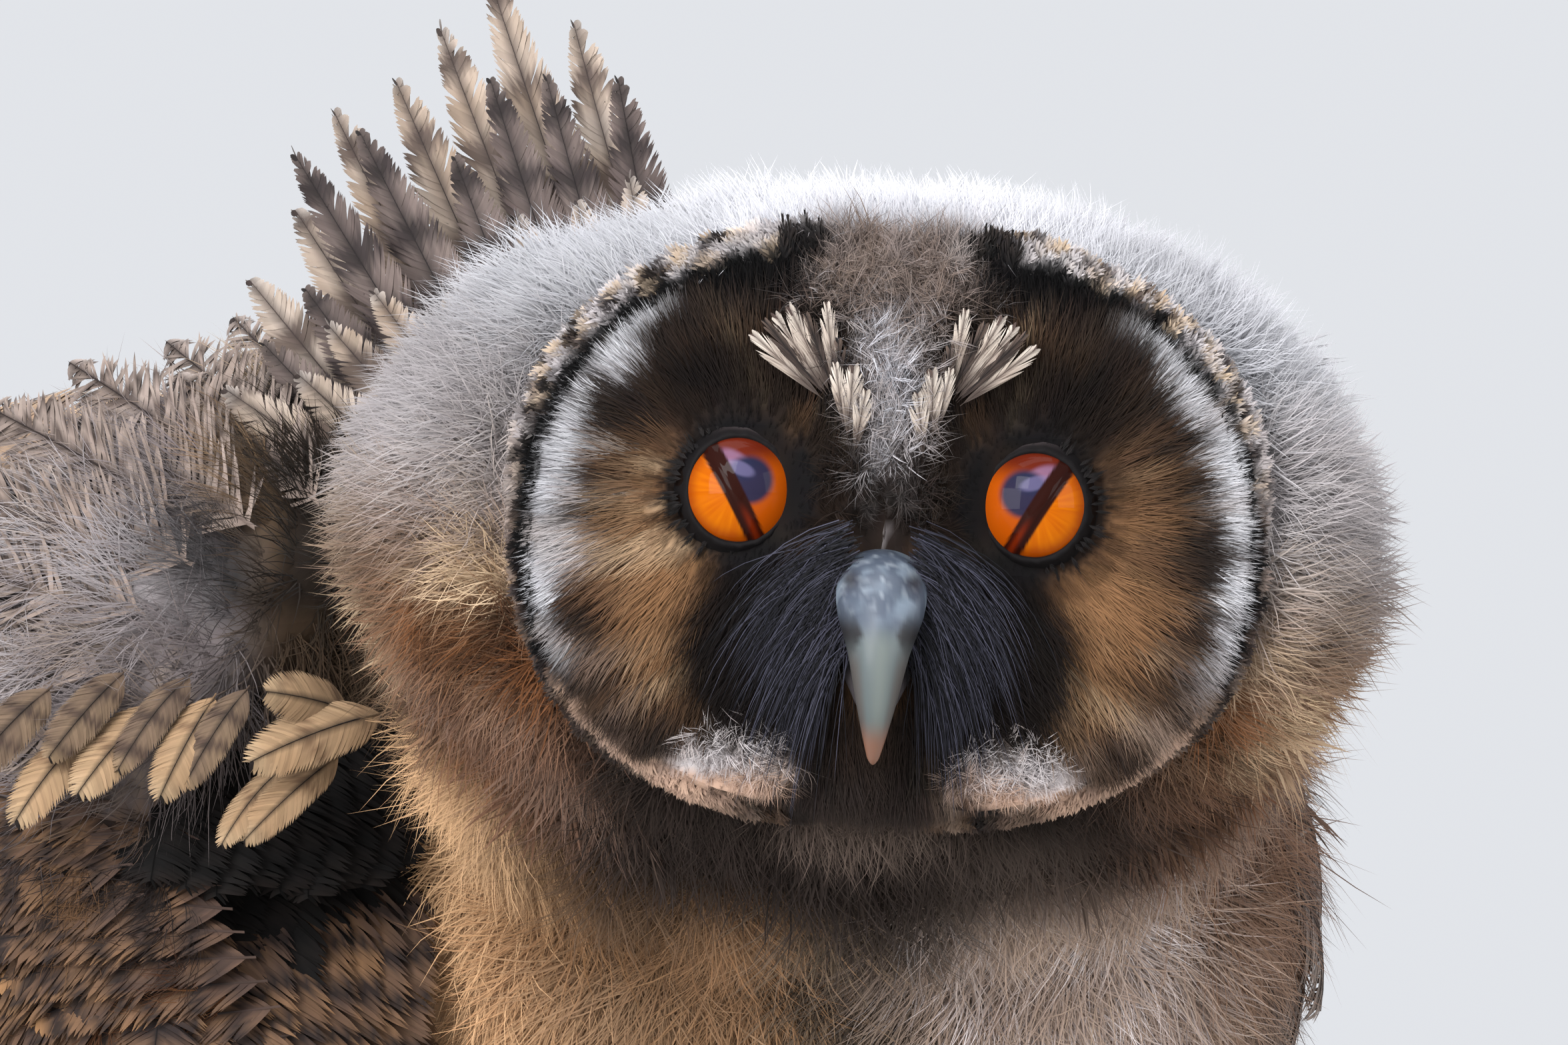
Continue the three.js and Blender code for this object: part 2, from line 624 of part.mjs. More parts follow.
const rightArmSections = [
  {
    edge: at(-34, -10, TOP + 144),
    aim: at(-0.3, 0.8, 0.5),
    face: at(-0.45, -0.45, 0.8),
    thick: 28,
    cover: 48,
  },
  {
    edge: at(-51, -30, TOP + 144),
    aim: at(-0.45, 0.75, 0.48),
    face: at(-0.45, -0.45, 0.8),
    thick: 32,
    cover: 58,
  },
  {
    edge: at(-70, -40, TOP + 136),
    aim: at(-0.7, 0.62, 0.34),
    face: at(-0.5, -0.5, 0.7),
    thick: 30,
    cover: 58,
  },
  {
    edge: at(-82, -41, TOP + 121),
    aim: at(-0.82, 0.52, 0.02),
    face: at(-0.5, -0.62, 0.6),
    thick: 25,
    cover: 52,
  },
];
const rightHandSections = [
  {
    edge: at(-82.5, -40.6, TOP + 119),
    aim: at(-0.83, 0.5, -0.04),
    face: at(-0.5, -0.62, 0.6),
    thick: 24,
    cover: 52,
  },
  {
    edge: at(-76, -40, TOP + 103),
    aim: at(-0.84, 0.4, -0.3),
    face: at(-0.5, -0.66, 0.55),
    thick: 20,
    cover: 52,
  },
  {
    edge: at(-66, -30, TOP + 84),
    aim: at(-0.72, 0.36, -0.58),
    face: at(-0.5, -0.7, 0.5),
    thick: 10,
    cover: 40,
  },
];

const rightArmFrame = wing(rightArmSections);
const rightHandFrame = wing(rightHandSections);
const rightSecondaries = {
  count: 9,
  roots: [0.25, 0.6, 0.93].map((share) => rightArmFrame.onWing(share, 0.4)),
  tips: [at(-96, 80, TOP + 172), at(-144, 52, TOP + 158), at(-176, 22, TOP + 106)],
  faces: [at(-0.45, -0.4, 0.8), at(-0.5, -0.62, 0.6)],
  wide: [23, 22],
  bow: 0.05,
  steps: [0.4, 1],
  seed: 3,
};
const rightPrimaries = {
  count: 9,
  roots: [0.08, 0.5, 0.9].map((share) => rightHandFrame.onWing(share, 0.35)),
  tips: [at(-180, 20, TOP + 72), at(-192, 24, TOP + 14), at(-150, 22, TOP - 16)],
  faces: [at(-0.5, -0.62, 0.6), at(-0.5, -0.7, 0.5)],
  wide: [21, 14],
  bow: 0.05,
  steps: [0.4, 1],
  seed: 5,
};
// Loose shoulder feathers that stand up behind the head, long ones behind short ones.
const scapularRoots = [at(-17, 12, TOP + 158), at(-32, 6, TOP + 157), at(-46, -3, TOP + 152)];
const rightScapulars = [
  {
    count: 7,
    roots: scapularRoots,
    tips: [at(-32, 26, TOP + 226), at(-54, 22, TOP + 226), at(-70, 12, TOP + 210), at(-78, 2, TOP + 188)],
    faces: [at(-0.2, -1, 0.15), at(-0.35, -0.9, 0.4)],
    wide: [16, 15],
    bow: 0.03,
    steps: [0.4, 1.2],
    uneven: 0.1,
    seed: 7,
  },
  {
    count: 5,
    roots: scapularRoots.map((root) => root.clone().add(at(-1, -6, -1))),
    tips: [at(-34, 8, TOP + 202), at(-54, 5, TOP + 198), at(-70, -4, TOP + 184), at(-76, -12, TOP + 170)],
    faces: [at(-0.2, -1, 0.15), at(-0.35, -0.9, 0.4)],
    wide: [15, 14],
    bow: 0.05,
    steps: [0.4, 1.2],
    blade: COVERT_BLADE,
    uneven: 0.1,
    seed: 9,
  },
];
// Buff feathers that hang over the front of the shoulder.
const rightFringe = {
  count: 6,
  roots: [at(-56, -33, TOP + 141), at(-71, -42, TOP + 134), at(-84, -42, TOP + 126)],
  tips: [at(-67, -50, TOP + 121), at(-85, -56, TOP + 115), at(-101, -52, TOP + 109)],
  faces: [at(-0.2, -1, 0.25), at(-0.4, -0.9, 0.3)],
  wide: [11, 11],
  bow: 0.08,
  steps: [0.4, 1.1],
  blade: COVERT_BLADE,
  uneven: 0.1,
  seed: 13,
};
const rightArmTiers = [
  tier(rightArmFrame, {
    from: 0.42, to: 1.22, raised: 3, count: 6,
    wide: [16, 15], bow: 0.03, roll: -COVERT_ROLL, seed: 15,
  }),
  tier(rightArmFrame, {
    from: 0.14, to: 0.7, raised: 3.6, count: 5,
    wide: [17, 16], bow: 0.05, roll: -COVERT_ROLL, seed: 17,
  }),
];
const rightHandTiers = [
  tier(rightHandFrame, {
    from: 0.3, to: 1.25, raised: 0.8, count: 5,
    wide: [15, 11], bow: 0.03, roll: -COVERT_ROLL, seed: 19,
  }),
];
// The padded root of the shoulder feathers on the back.
function scapularPad() {
  return limb([
    { place: at(-10, 14, TOP + 151), wide: 12, above: 9, below: 9 },
    { place: at(-30, 7, TOP + 152), wide: 13, above: 11, below: 11 },
    { place: at(-50, -7, TOP + 146), wide: 12, above: 10, below: 10 },
  ], { around: 12, rings: 7, side: at(0, 1, 0) });
}

const leftArmSections = [
  {
    edge: at(51, -24, TOP + 118),
    aim: at(-0.04, 0.8, -0.6),
    face: at(1, 0.1, 0.15),
    thick: 13,
    cover: 72,
  },
  {
    edge: at(50, -16, TOP + 134),
    aim: at(-0.08, 0.8, -0.6),
    face: at(1, 0.15, 0.4),
    thick: 17,
    cover: 84,
  },
  {
    edge: at(40, -2, TOP + 148),
    aim: at(-0.12, 0.82, -0.57),
    face: at(0.75, 0.3, 0.7),
    thick: 16,
    cover: 78,
  },
];
const leftHandSections = [
  {
    edge: at(50, -20, TOP + 98),
    aim: at(-0.04, 0.8, -0.6),
    face: at(1, 0.1, -0.15),
    thick: 8,
    cover: 60,
  },
  {
    edge: at(51, -23, TOP + 107),
    aim: at(-0.05, 0.8, -0.6),
    face: at(1, 0.1, 0),
    thick: 11,
    cover: 74,
  },
  {
    edge: at(51, -24, TOP + 116),
    aim: at(-0.06, 0.8, -0.6),
    face: at(1, 0.1, 0.15),
    thick: 12,
    cover: 78,
  },
];
const leftArmFrame = wing(leftArmSections);
const leftHandFrame = wing(leftHandSections);
const leftSecondaries = {
  count: 7,
  roots: [0.06, 0.5, 0.94].map((share) => leftArmFrame.onWing(share, 0.45)),
  tips: [at(44, 86, TOP + 42), at(39, 97, TOP + 56), at(25, 99, TOP + 80)],
  faces: [at(1, 0.1, 0.2), at(0.7, 0.25, 0.7)],
  wide: [19, 20],
  bow: 0.03,
  steps: [-0.4, -1],
  seed: 21,
};
const leftPrimaries = {
  count: 6,
  roots: [0.15, 0.5, 0.85].map((share) => leftHandFrame.onWing(share, 0.5)),
  tips: [at(47, 92, TOP + 8), at(45, 118, TOP + 2), at(43, 128, TOP + 16)],
  faces: [at(1, 0.1, -0.05), at(1, 0.1, 0.15)],
  wide: [13, 15],
  bow: 0.02,
  steps: [-0.4, -1],
  seed: 23,
};
const leftArmTiers = [
  tier(leftArmFrame, {
    from: 0.45, to: 1.12, raised: 3, count: 5,
    wide: [14, 15], bow: 0.03, roll: COVERT_ROLL, seed: 25,
  }),
  tier(leftArmFrame, {
    from: 0.14, to: 0.66, raised: 3.6, count: 4,
    wide: [15, 16], bow: 0.05, roll: COVERT_ROLL, seed: 27,
  }),
];
const leftHandTiers = [
  tier(leftHandFrame, {
    from: 0.4, to: 1.1, raised: 0.8, count: 3,
    wide: [12, 13], bow: 0.03, roll: COVERT_ROLL, seed: 29,
  }),
];

// Ear tufts, only budding at this age: a few short locks that lie back over the crown.
function earTuft(side) {
  const foot = at(side * 10, -29, 34);
  const root = limb([
    { place: foot.clone().add(at(0, 3, -3)), wide: 5, above: 4, below: 4 },
    { place: foot.clone().add(at(side * 0.5, 0, 1.5)), wide: 5, above: 3.5, below: 3.5 },
    { place: foot.clone().add(at(side * 1, 1, 4.5)), wide: 3, above: 2, below: 2 },
  ], { around: 10, rings: 5, roundStart: 0.2, roundEnd: 0.4 });
  return joined([root, ...feathers({
    count: 3,
    roots: [foot.clone().add(at(-side * 3, -1, 1)), foot.clone().add(at(side * 3, -1, 1))],
    tips: [foot.clone().add(at(-side * 3, -3, 8)), foot.clone().add(at(side * 7, -3, 8.5))],
    faces: [at(0, -1, 0.4), at(side * 0.3, -1, 0.3)],
    wide: [4.5, 4.5],
    roll: side * 12,
    blade: LOCK_BLADE,
    uneven: 0.15,
    seed: 31,
  })]);
}

// Locks of the face. onFace gives a place on it, raised above the surface.
const onFace = (x, z, raised = 0) => at(x, -faceForward(x, z) - raised, z);

// The ruff: short stiff feathers that overlap round the rim of the face.
function ruff() {
  const draw = numberStream(41);
  return Array.from({ length: RUFF_FEATHERS }, (_, i) => {
    const angle = (2 * Math.PI * (i + 0.5)) / RUFF_FEATHERS;
    const out = at(Math.cos(angle), 0, Math.sin(angle));
    const rim = discReach(angle);
    const root = onFace(out.x * (rim - 3), out.z * (rim - 3), -1.4);
    const tip = onFace(out.x * rim, out.z * rim, -0.6).addScaledVector(out, 5 + 1.5 * draw());
    return vane(root, tip, at(out.x * 0.5, -1, out.z * 0.5), { wide: 11, roll: 8, blade: LOCK_BLADE });
  });
}

// Pale feathers that part over the bill, in the shape of an X with the bristles below.
const brow = (side) => ({
  count: 3,
  roots: [onFace(side * 4, 7, -0.8), onFace(side * 7, 9, -0.8)],
  tips: [onFace(side * 6, 18, 1.4), onFace(side * 12, 24, 1.8), onFace(side * 18, 20, 1.8)],
  faces: [at(0, -1, 0), at(side * 0.2, -1, 0)],
  wide: [4.2, 4.6],
  bow: 0.03,
  blade: LOCK_BLADE,
  uneven: 0.08,
  seed: 43,
});

// Black bristle feathers that fan out beside the bill.
const bristles = (side) => ({
  count: 4,
  roots: [onFace(side * 5.5, -3, -0.8), onFace(side * 6, -9, -0.8), onFace(side * 5, -13, -0.8)],
  tips: [onFace(side * 22, -9, 1), onFace(side * 17, -21, 1.4), onFace(side * 8, -27, 1.6)],
  faces: [at(side * 0.2, -1, 0), at(side * 0.2, -1, 0)],
  wide: [4, 3.6],
  bow: 0.1,
  blade: LOCK_BLADE,
  uneven: 0.08,
  seed: 47,
});

// Colours and finishes

function finish(color, roughness = 0.9) {
  return new THREE.MeshStandardMaterial({ color, roughness, metalness: 0, side: THREE.DoubleSide });
}
const finishes = {
  wood: finish(0x6f4a30, 0.55),
  steel: new THREE.MeshStandardMaterial({ color: 0x8f9296, roughness: 0.35, metalness: 1 }),
  bark: finish(0x8d7a6b),
  down: finish(0xb3a698),
  head: finish(0x9a8b7d),
  eye: finish(0xe87a12, 0.08),
  bill: finish(0x7d8a8e, 0.3),
  talon: finish(0x26221f, 0.35),
  feather: finish(0x7b6450),
  tuft: finish(0x2a211b),
};

// Assembly

const owl = new THREE.Group();
owl.add(headGroup);

function place(name, solid, material, group = owl) {
  const mesh = new THREE.Mesh(geometryOf(solid), material);
  mesh.name = name;
  group.add(mesh);
}

const fromWorld = (solid) => solid.transform(headGroup.matrixWorld.clone().invert().elements);
// Each neighbour is taken off with its clearance and as it is, because a grown thin edge can fold inward.
const cut = (solid, ...neighbours) => neighbours.reduce(
  (rest, one) => rest.subtract(grown(one)).subtract(one),
  solid,
);

const perchSolid = perch();
const rodAt = standRod(perchSolid);
place('stand_base', standBase(), finishes.wood);
place('stand_rod_right', rodAt(-1), finishes.steel);
place('stand_rod_left', rodAt(1), finishes.steel);
place('perch_branch', perchSolid, finishes.bark);

const trunkSolid = trunk();
const billSolid = upperBill();
const plainHead = headCore();
const headInWorld = inWorld(plainHead);
const wholeNeck = neckCore();
place('torso', trunkSolid, finishes.down);
place('neck', largest(cut(wholeNeck, trunkSolid, headInWorld)), finishes.down);

const sockets = [-1, 1].map((side) => ball(EYE_RADIUS + GAP, eyePlace(side)));
const lids = [-1, 1].map(lid);
const mouth = [-1, 1].map(mouthLine);
const ruffLocks = ruff();
const faceLocks = [-1, 1].flatMap((side) => [...feathers(brow(side)), ...feathers(bristles(side))]);
const face = joined([plainHead, ...lids, ...ruffLocks, ...faceLocks])
  .subtract(joined(sockets))
  .subtract(grown(lowerBill()))
  .subtract(grown(billSolid))
  .subtract(joined(mouth));
place('head', fromWorld(largest(cut(inWorld(face), trunkSolid))), finishes.head, headGroup);

[-1, 1].forEach((side) => {
  const hand = side < 0 ? 'right' : 'left';
  const eye = ball(EYE_RADIUS, eyePlace(side));
  place(`eye_${hand}`, eye, finishes.eye, headGroup);
  place(`ear_tuft_${hand}`, largest(cut(earTuft(side), plainHead, ...ruffLocks)), finishes.tuft, headGroup);
});
const nostrils = joined([-1, 1].map(nostril));
place('bill_upper', largest(billSolid.subtract(nostrils)), finishes.bill, headGroup);
place('bill_lower', largest(cut(lowerBill(), billSolid)), finishes.bill, headGroup);

[-1, 1].forEach((side) => {
  const hand = side < 0 ? 'right' : 'left';
  const thigh = largest(cut(thighCore(side), trunkSolid));
  place(`thigh_${hand}`, thigh, finishes.down);
  const foot = largest(cut(footCore(side), thigh, perchSolid));
  place(`foot_${hand}`, foot, finishes.down);
  TOES.forEach((one) => {
    place(`talon_${hand}_${one.name}`, largest(cut(talon(side, one), foot)), finishes.talon);
  });
});

const tail = joined([tailCore(), ...feathers(tailFan)]);
place('tail', largest(cut(tail, trunkSolid)), finishes.feather);

const body = [trunkSolid, wholeNeck, headInWorld];
const wingNode = (parts, ...neighbours) => largest(cut(joined(parts), ...body, ...neighbours));

const leftHandParts = [leftHandFrame.core(4, 8), ...[leftPrimaries, ...leftHandTiers].flatMap(feathers)];
place('wing_left_hand', wingNode(leftHandParts), finishes.feather);
const leftArmParts = [leftArmFrame.core(4, 8), ...[leftSecondaries, ...leftArmTiers].flatMap(feathers)];
place('wing_left_arm', wingNode(leftArmParts, ...leftHandParts), finishes.feather);

const rightHandParts = [rightHandFrame.core(4, 8), ...[rightPrimaries, ...rightHandTiers].flatMap(feathers)];
place('wing_right_hand', wingNode(rightHandParts), finishes.feather);
const rightArmFans = [rightSecondaries, ...rightArmTiers, rightFringe];
const rightArmParts = [rightArmFrame.core(5, 8), ...rightArmFans.flatMap(feathers)];
place('wing_right_arm', wingNode(rightArmParts, ...rightHandParts), finishes.feather);
const shoulderParts = [scapularPad(), ...rightScapulars.flatMap(feathers)];
place('wing_right_shoulder', wingNode(shoulderParts, ...rightArmParts), finishes.feather);

export default owl;
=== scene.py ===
# %% [markdown]
# # A fledgling long-eared owl
# This notebook dresses a measured model of a young owl in its down, feathers, eyes and bill. The
# model's solids give every size, and each piece made here stays where its solid is. Sizes in the cells
# are in millimetres on the bird and are turned into metres where a mesh is made.

# %% Load the measured model
import itertools
import math

import bpy
import numpy as np
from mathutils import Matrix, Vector
from mathutils.bvhtree import BVHTree


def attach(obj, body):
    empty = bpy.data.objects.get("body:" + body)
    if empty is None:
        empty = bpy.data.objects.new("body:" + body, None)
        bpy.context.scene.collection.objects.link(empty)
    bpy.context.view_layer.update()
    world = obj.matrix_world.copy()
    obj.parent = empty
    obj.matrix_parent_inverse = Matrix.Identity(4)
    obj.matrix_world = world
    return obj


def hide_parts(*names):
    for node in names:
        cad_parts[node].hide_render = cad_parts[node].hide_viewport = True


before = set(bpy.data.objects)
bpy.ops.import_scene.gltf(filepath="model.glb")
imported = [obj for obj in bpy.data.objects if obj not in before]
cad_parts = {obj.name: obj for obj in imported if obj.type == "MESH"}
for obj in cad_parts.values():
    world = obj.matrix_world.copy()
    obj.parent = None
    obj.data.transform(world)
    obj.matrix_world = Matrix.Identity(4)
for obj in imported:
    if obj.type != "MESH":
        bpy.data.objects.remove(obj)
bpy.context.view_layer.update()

MM = 0.001

# %% [markdown]
# A long lens far from the bird keeps its face free of distortion, as a picture taken from a distance
# does. The camera looks level along +Y, a little to the bird's right of the middle of the face. The
# lens follows from the width that the picture takes in at the plane of the face.

# %% Place the camera
SENSOR = 36.0
PICTURE_WIDTH = 184.0
FACE_PLANE = -110.0
CAMERA_DISTANCE = 2000.0
CAMERA_SIDE = -7.9
CAMERA_HEIGHT = 213.4
lens = bpy.data.cameras.new("portrait_lens")
lens.sensor_width = SENSOR
lens.lens = SENSOR * CAMERA_DISTANCE / PICTURE_WIDTH
lens.clip_end = 100
camera = bpy.data.objects.new("portrait_camera", lens)
camera.location = Vector((CAMERA_SIDE, FACE_PLANE - CAMERA_DISTANCE, CAMERA_HEIGHT)) * MM
camera.rotation_euler = (math.radians(90), 0, 0)
bpy.context.scene.collection.objects.link(camera)
bpy.context.scene.camera = camera
print("lens:", round(lens.lens), "mm")

# %% [markdown]
# Down has no hard highlights in daylight under a pale sky. Large area lights give that softness: one
# high in front, one low from the bird's right, and one behind that lights the fringe of loose
# filaments. The floor is a plain pale disc, and the world's own pale light fills the shadows.

# %% Set the studio
def srgb(*channels):
    """A linear colour from red, green and blue between 0 and 255."""
    share = np.array(channels) / 255
    return np.where(share <= 0.04045, share / 12.92, ((share + 0.055) / 1.055) ** 2.4)


def paint(name, colour=(200, 200, 200), roughness=0.8, **sockets):
    """A material with one Principled shader. Constants are set on the shader's own sockets."""
    material = bpy.data.materials.new(name)
    material.use_nodes = True
    shader = material.node_tree.nodes["Principled BSDF"]
    shader.inputs["Base Color"].default_value = (*srgb(*colour), 1)
    shader.inputs["Roughness"].default_value = roughness
    for socket, value in sockets.items():
        shader.inputs[socket.replace("_", " ")].default_value = value
    return material


def lamp(name, place, target, size, power):
    """A square area light that looks at the target."""
    light = bpy.data.lights.new(name, "AREA")
    light.size = size
    light.energy = power
    holder = bpy.data.objects.new(name, light)
    holder.location = place
    holder.rotation_euler = (Vector(target) - Vector(place)).to_track_quat("-Z", "Y").to_euler()
    bpy.context.scene.collection.objects.link(holder)


LIT_PLACE = (0, -0.1, 0.2)  # metres, like the places and sizes of the lamps
lamp("key_light", (-0.5, -1.5, 1.4), LIT_PLACE, 0.7, 26)
lamp("sky_light", (-0.1, 0.1, 1.9), LIT_PLACE, 1.4, 26)
lamp("low_light", (-0.9, -1.3, 0.5), (0, -0.08, 0.16), 0.9, 26)
lamp("side_light", (1.5, -1.0, 0.6), LIT_PLACE, 1.0, 14)
lamp("rim_light", (0.4, 1.3, 1.2), LIT_PLACE, 0.9, 18)
world = bpy.data.worlds.new("pale_sky")
world.use_nodes = True
world.node_tree.nodes["Background"].inputs["Color"].default_value = (0.80, 0.82, 0.86, 1)
world.node_tree.nodes["Background"].inputs["Strength"].default_value = 0.95
bpy.context.scene.world = world
bpy.context.scene.view_settings.view_transform = "Standard"
print("lamps:", ", ".join(light.name for light in bpy.data.lights))

# %% Make meshes from arrays
def columns(*values):
    """Rows of numbers from their columns. A single number fills its column."""
    return np.stack(np.broadcast_arrays(*values), 1)


def mesh_piece(name, points, faces, material=None, smooth=True):
    """An object at the origin whose mesh holds the points, given in millimetres."""
    mesh = bpy.data.meshes.new(name)
    mesh.from_pydata((np.asarray(points) * MM).tolist(), [], [tuple(map(int, face)) for face in faces])
    mesh.validate()
    if smooth:
        mesh.shade_smooth()
    if material:
        mesh.materials.append(material)
    piece = bpy.data.objects.new(name, mesh)
    bpy.context.scene.collection.objects.link(piece)
    return piece


def finish_piece(piece, slot, *nodes):
    """The piece rides with the body and stands for the nodes. slot is not used."""
    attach(piece, "root")
    if nodes:
        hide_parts(*nodes)
    print(piece.name, len(piece.data.polygons), "faces")


def layer_of(mesh, layer, width, key):
    """The values that the mesh's points store in a layer."""
    values = np.zeros(len(mesh.vertices) * width, np.float32)
    mesh.attributes[layer].data.foreach_get(key, values)
    return values.reshape(-1, width) if width > 1 else values


def put_layer(mesh, layer, values):
    kind, key = ("FLOAT_VECTOR", "vector") if values.ndim == 2 else ("FLOAT", "value")
    spot = mesh.attributes.new(layer, kind, "POINT")
    spot.data.foreach_set(key, values.astype(np.float32).ravel())


SIDES = ((-1, "right"), (1, "left"))  # the bird's right side is at -X
FLOOR_RADIUS = 4000
FLOOR_EDGES = 96
turn = np.linspace(0, 2 * np.pi, FLOOR_EDGES, endpoint=False)
floor_edge = FLOOR_RADIUS * columns(np.cos(turn), np.sin(turn), 0)
floor_paint = paint("pale_floor", (176, 175, 172))
floor = mesh_piece("floor", floor_edge, [range(FLOOR_EDGES)], floor_paint, smooth=False)
print("floor:", floor.dimensions.x, "m across")

# %% [markdown]
# The trunk, neck, wings, legs, toes and bill all swell and taper along a bent line. One helper makes
# them: it passes a smooth curve through a few stations, each with a place, a half width and half
# heights above and below, and sets rings of points round that curve. The ends close like an egg's.

# %% Make rounded bodies along a curve
def unit(vectors):
    vectors = np.asarray(vectors, float)
    return vectors / np.maximum(np.linalg.norm(vectors, axis=-1, keepdims=True), 1e-9)


def curve(points, share):
    """A place on a centripetal Catmull-Rom curve through the points, at a share of their count."""
    points = np.asarray(points, float).reshape(len(points), -1)
    run = (len(points) - 1) * min(max(share, 0), 1)
    i = min(int(run), len(points) - 2)
    weight = run - i
    before = points[i - 1] if i > 0 else 2 * points[0] - points[1]
    after = points[i + 2] if i + 2 < len(points) else 2 * points[-1] - points[-2]
    a, b = points[i], points[i + 1]
    middle = np.linalg.norm(b - a) ** 0.5
    middle = middle if middle > 1e-4 else 1
    first = np.linalg.norm(a - before) ** 0.5
    last = np.linalg.norm(after - b) ** 0.5
    first = first if first > 1e-4 else middle
    last = last if last > 1e-4 else middle
    slope_a = ((a - before) / first - (b - before) / (first + middle) + (b - a) / middle) * middle
    slope_b = ((b - a) / middle - (after - a) / (middle + last) + (after - b) / last) * middle
    squared, cubed = weight**2, weight**3
    return (
        a
        + slope_a * weight
        + (-3 * a + 3 * b - 2 * slope_a - slope_b) * squared
        + (2 * a - 2 * b + slope_a + slope_b) * cubed
    )


def loft(rings, first=None, last=None):
    """A closed skin over rings of equally many points, shut by a fan at each end."""
    around = len(rings[0])
    first = np.mean(rings[0], 0) if first is None else first
    last = np.mean(rings[-1], 0) if last is None else last
    points = np.vstack([[first], *rings, [last]])
    faces = []
    for j in range(around):
        k = (j + 1) % around
        faces.append((0, 1 + k, 1 + j))
        for i in range(len(rings) - 1):
            a = 1 + i * around
            faces.append((a + j, a + k, a + around + k, a + around + j))
        a = 1 + (len(rings) - 1) * around
        faces.append((len(points) - 1, a + j, a + k))
    return points, faces


def limb(stations, around=32, rings=30, closing=(0.2, 0.2), side=(1, 0, 0)):
    """Each station is a place, a half width, and half heights above and below."""
    places, sizes = [one[0] for one in stations], [one[1:] for one in stations]

    def size_at(key, share):
        return curve([[size[key]] for size in sizes], share)[0]

    made = []
    for i in range(1, rings):
        share = (1 - math.cos(math.pi * i / rings)) / 2
        tangent = unit(curve(places, share + 1e-3) - curve(places, share - 1e-3))
        across = unit(np.array(side) - np.dot(side, tangent) * tangent)
        up = np.cross(across, tangent)
        ends = [min(share / closing[0], 1), min((1 - share) / closing[1], 1)]
        size = np.prod([math.sqrt(1 - (1 - end) ** 2) for end in ends])
        angle = np.linspace(0, 2 * np.pi, around, endpoint=False)
        lift = np.where(np.sin(angle) > 0, size_at(1, share), size_at(2, share))
        wide = np.cos(angle) * size_at(0, share)
        ring = curve(places, share) + size * (wide[:, None] * across + (np.sin(angle) * lift)[:, None] * up)
        made.append(ring)
    return loft(made, curve(places, 0), curve(places, 1))


print("a small limb:", len(limb([((0, 0, 0), 1, 1, 1), ((0, 9, 0), 1, 1, 1)])[0]), "points")

# %% [markdown]
# The head has its own frame, rolled three degrees as the bird tilts it. The face is a low dome with a
# dish round each eye, a ridge from the brow to the bill and a raised rim, and the skull closes behind
# it. The same few sizes as in the solids give that surface here, finer.

# %% Shape the head
HEAD_MIDDLE = np.array([4.0, -72.0, 214.0])
HEAD_ROLL = math.radians(3)
HEAD_SIZES = dict(half_width=61, cheek=66, crown=45, chin=43, half_length=46, sink=3)
DISC_HALF_WIDTH, DISC_HALF_HEIGHT, DISC_SQUARENESS, DISC_NOTCH = 44.2, 37.5, 2.15, 4
RIM_SIDE, RIM_HEIGHT, RIM_HALF_WIDTH, RIM_HALF_HEIGHT, RIM_SQUARENESS = 0.7, -3.6, 43, 35, 2.3
FACE_FORWARD = 38
EYE_SIDE, EYE_HEIGHT, EYE_DEPTH, EYE_RADIUS = 17.3, 2.3, 27.2, 8.2
LID_FORWARD, EYE_TURN = 5.3, math.radians(2)
roll_cos, roll_sin = math.cos(HEAD_ROLL), math.sin(HEAD_ROLL)
ROLL = np.array([[roll_cos, 0, roll_sin], [0, 1, 0], [-roll_sin, 0, roll_cos]])


def from_head(points):
    """Places of the head's frame, moved to the bird."""
    return np.asarray(points) @ ROLL.T + HEAD_MIDDLE


def to_head(points):
    """Places on the bird, in the head's frame."""
    return (np.asarray(points) - HEAD_MIDDLE) @ ROLL


def bump(distance, reach):
    """1 at no distance, falling smoothly to 0 beyond the reach."""
    return np.exp(-((distance / reach) ** 2))


def step(value, low, high):
    """0 below low, 1 above high and smooth between. The two may be given the other way round."""
    share = np.clip((value - low) / (high - low), 0, 1)
    return share * share * (3 - 2 * share)


def disc_reach(angle):
    """How far the edge of the facial disc is from its middle."""
    across = np.abs(np.cos(angle) / DISC_HALF_WIDTH) ** DISC_SQUARENESS
    up = np.abs(np.sin(angle) / DISC_HALF_HEIGHT) ** DISC_SQUARENESS
    return (across + up) ** (-1 / DISC_SQUARENESS) - DISC_NOTCH * bump(np.cos(angle), 0.24)


def rim_share(x, z):
    """How far out a place on the face is, where the thin black line round it is 1."""
    across = np.abs((x - RIM_SIDE) / RIM_HALF_WIDTH) ** RIM_SQUARENESS
    up = np.abs((z - RIM_HEIGHT) / RIM_HALF_HEIGHT) ** RIM_SQUARENESS
    return (across + up) ** (1 / RIM_SQUARENESS)


def face_forward(x, z):
    """How far the face stands before the head's middle."""
    share = np.hypot(x, z) / disc_reach(np.arctan2(z, x))
    dome = FACE_FORWARD - x * x / 210 - z * z / 190
    dish = 5.5 * bump(np.hypot(np.abs(x) - EYE_SIDE - 3, z - EYE_HEIGHT + 1), 15)
    ridge = 3.2 * bump(x, 8) * bump(z - 2, 20)
    rim = 2.2 * step(share, 0.84, 1)
    return dome - dish + ridge + rim


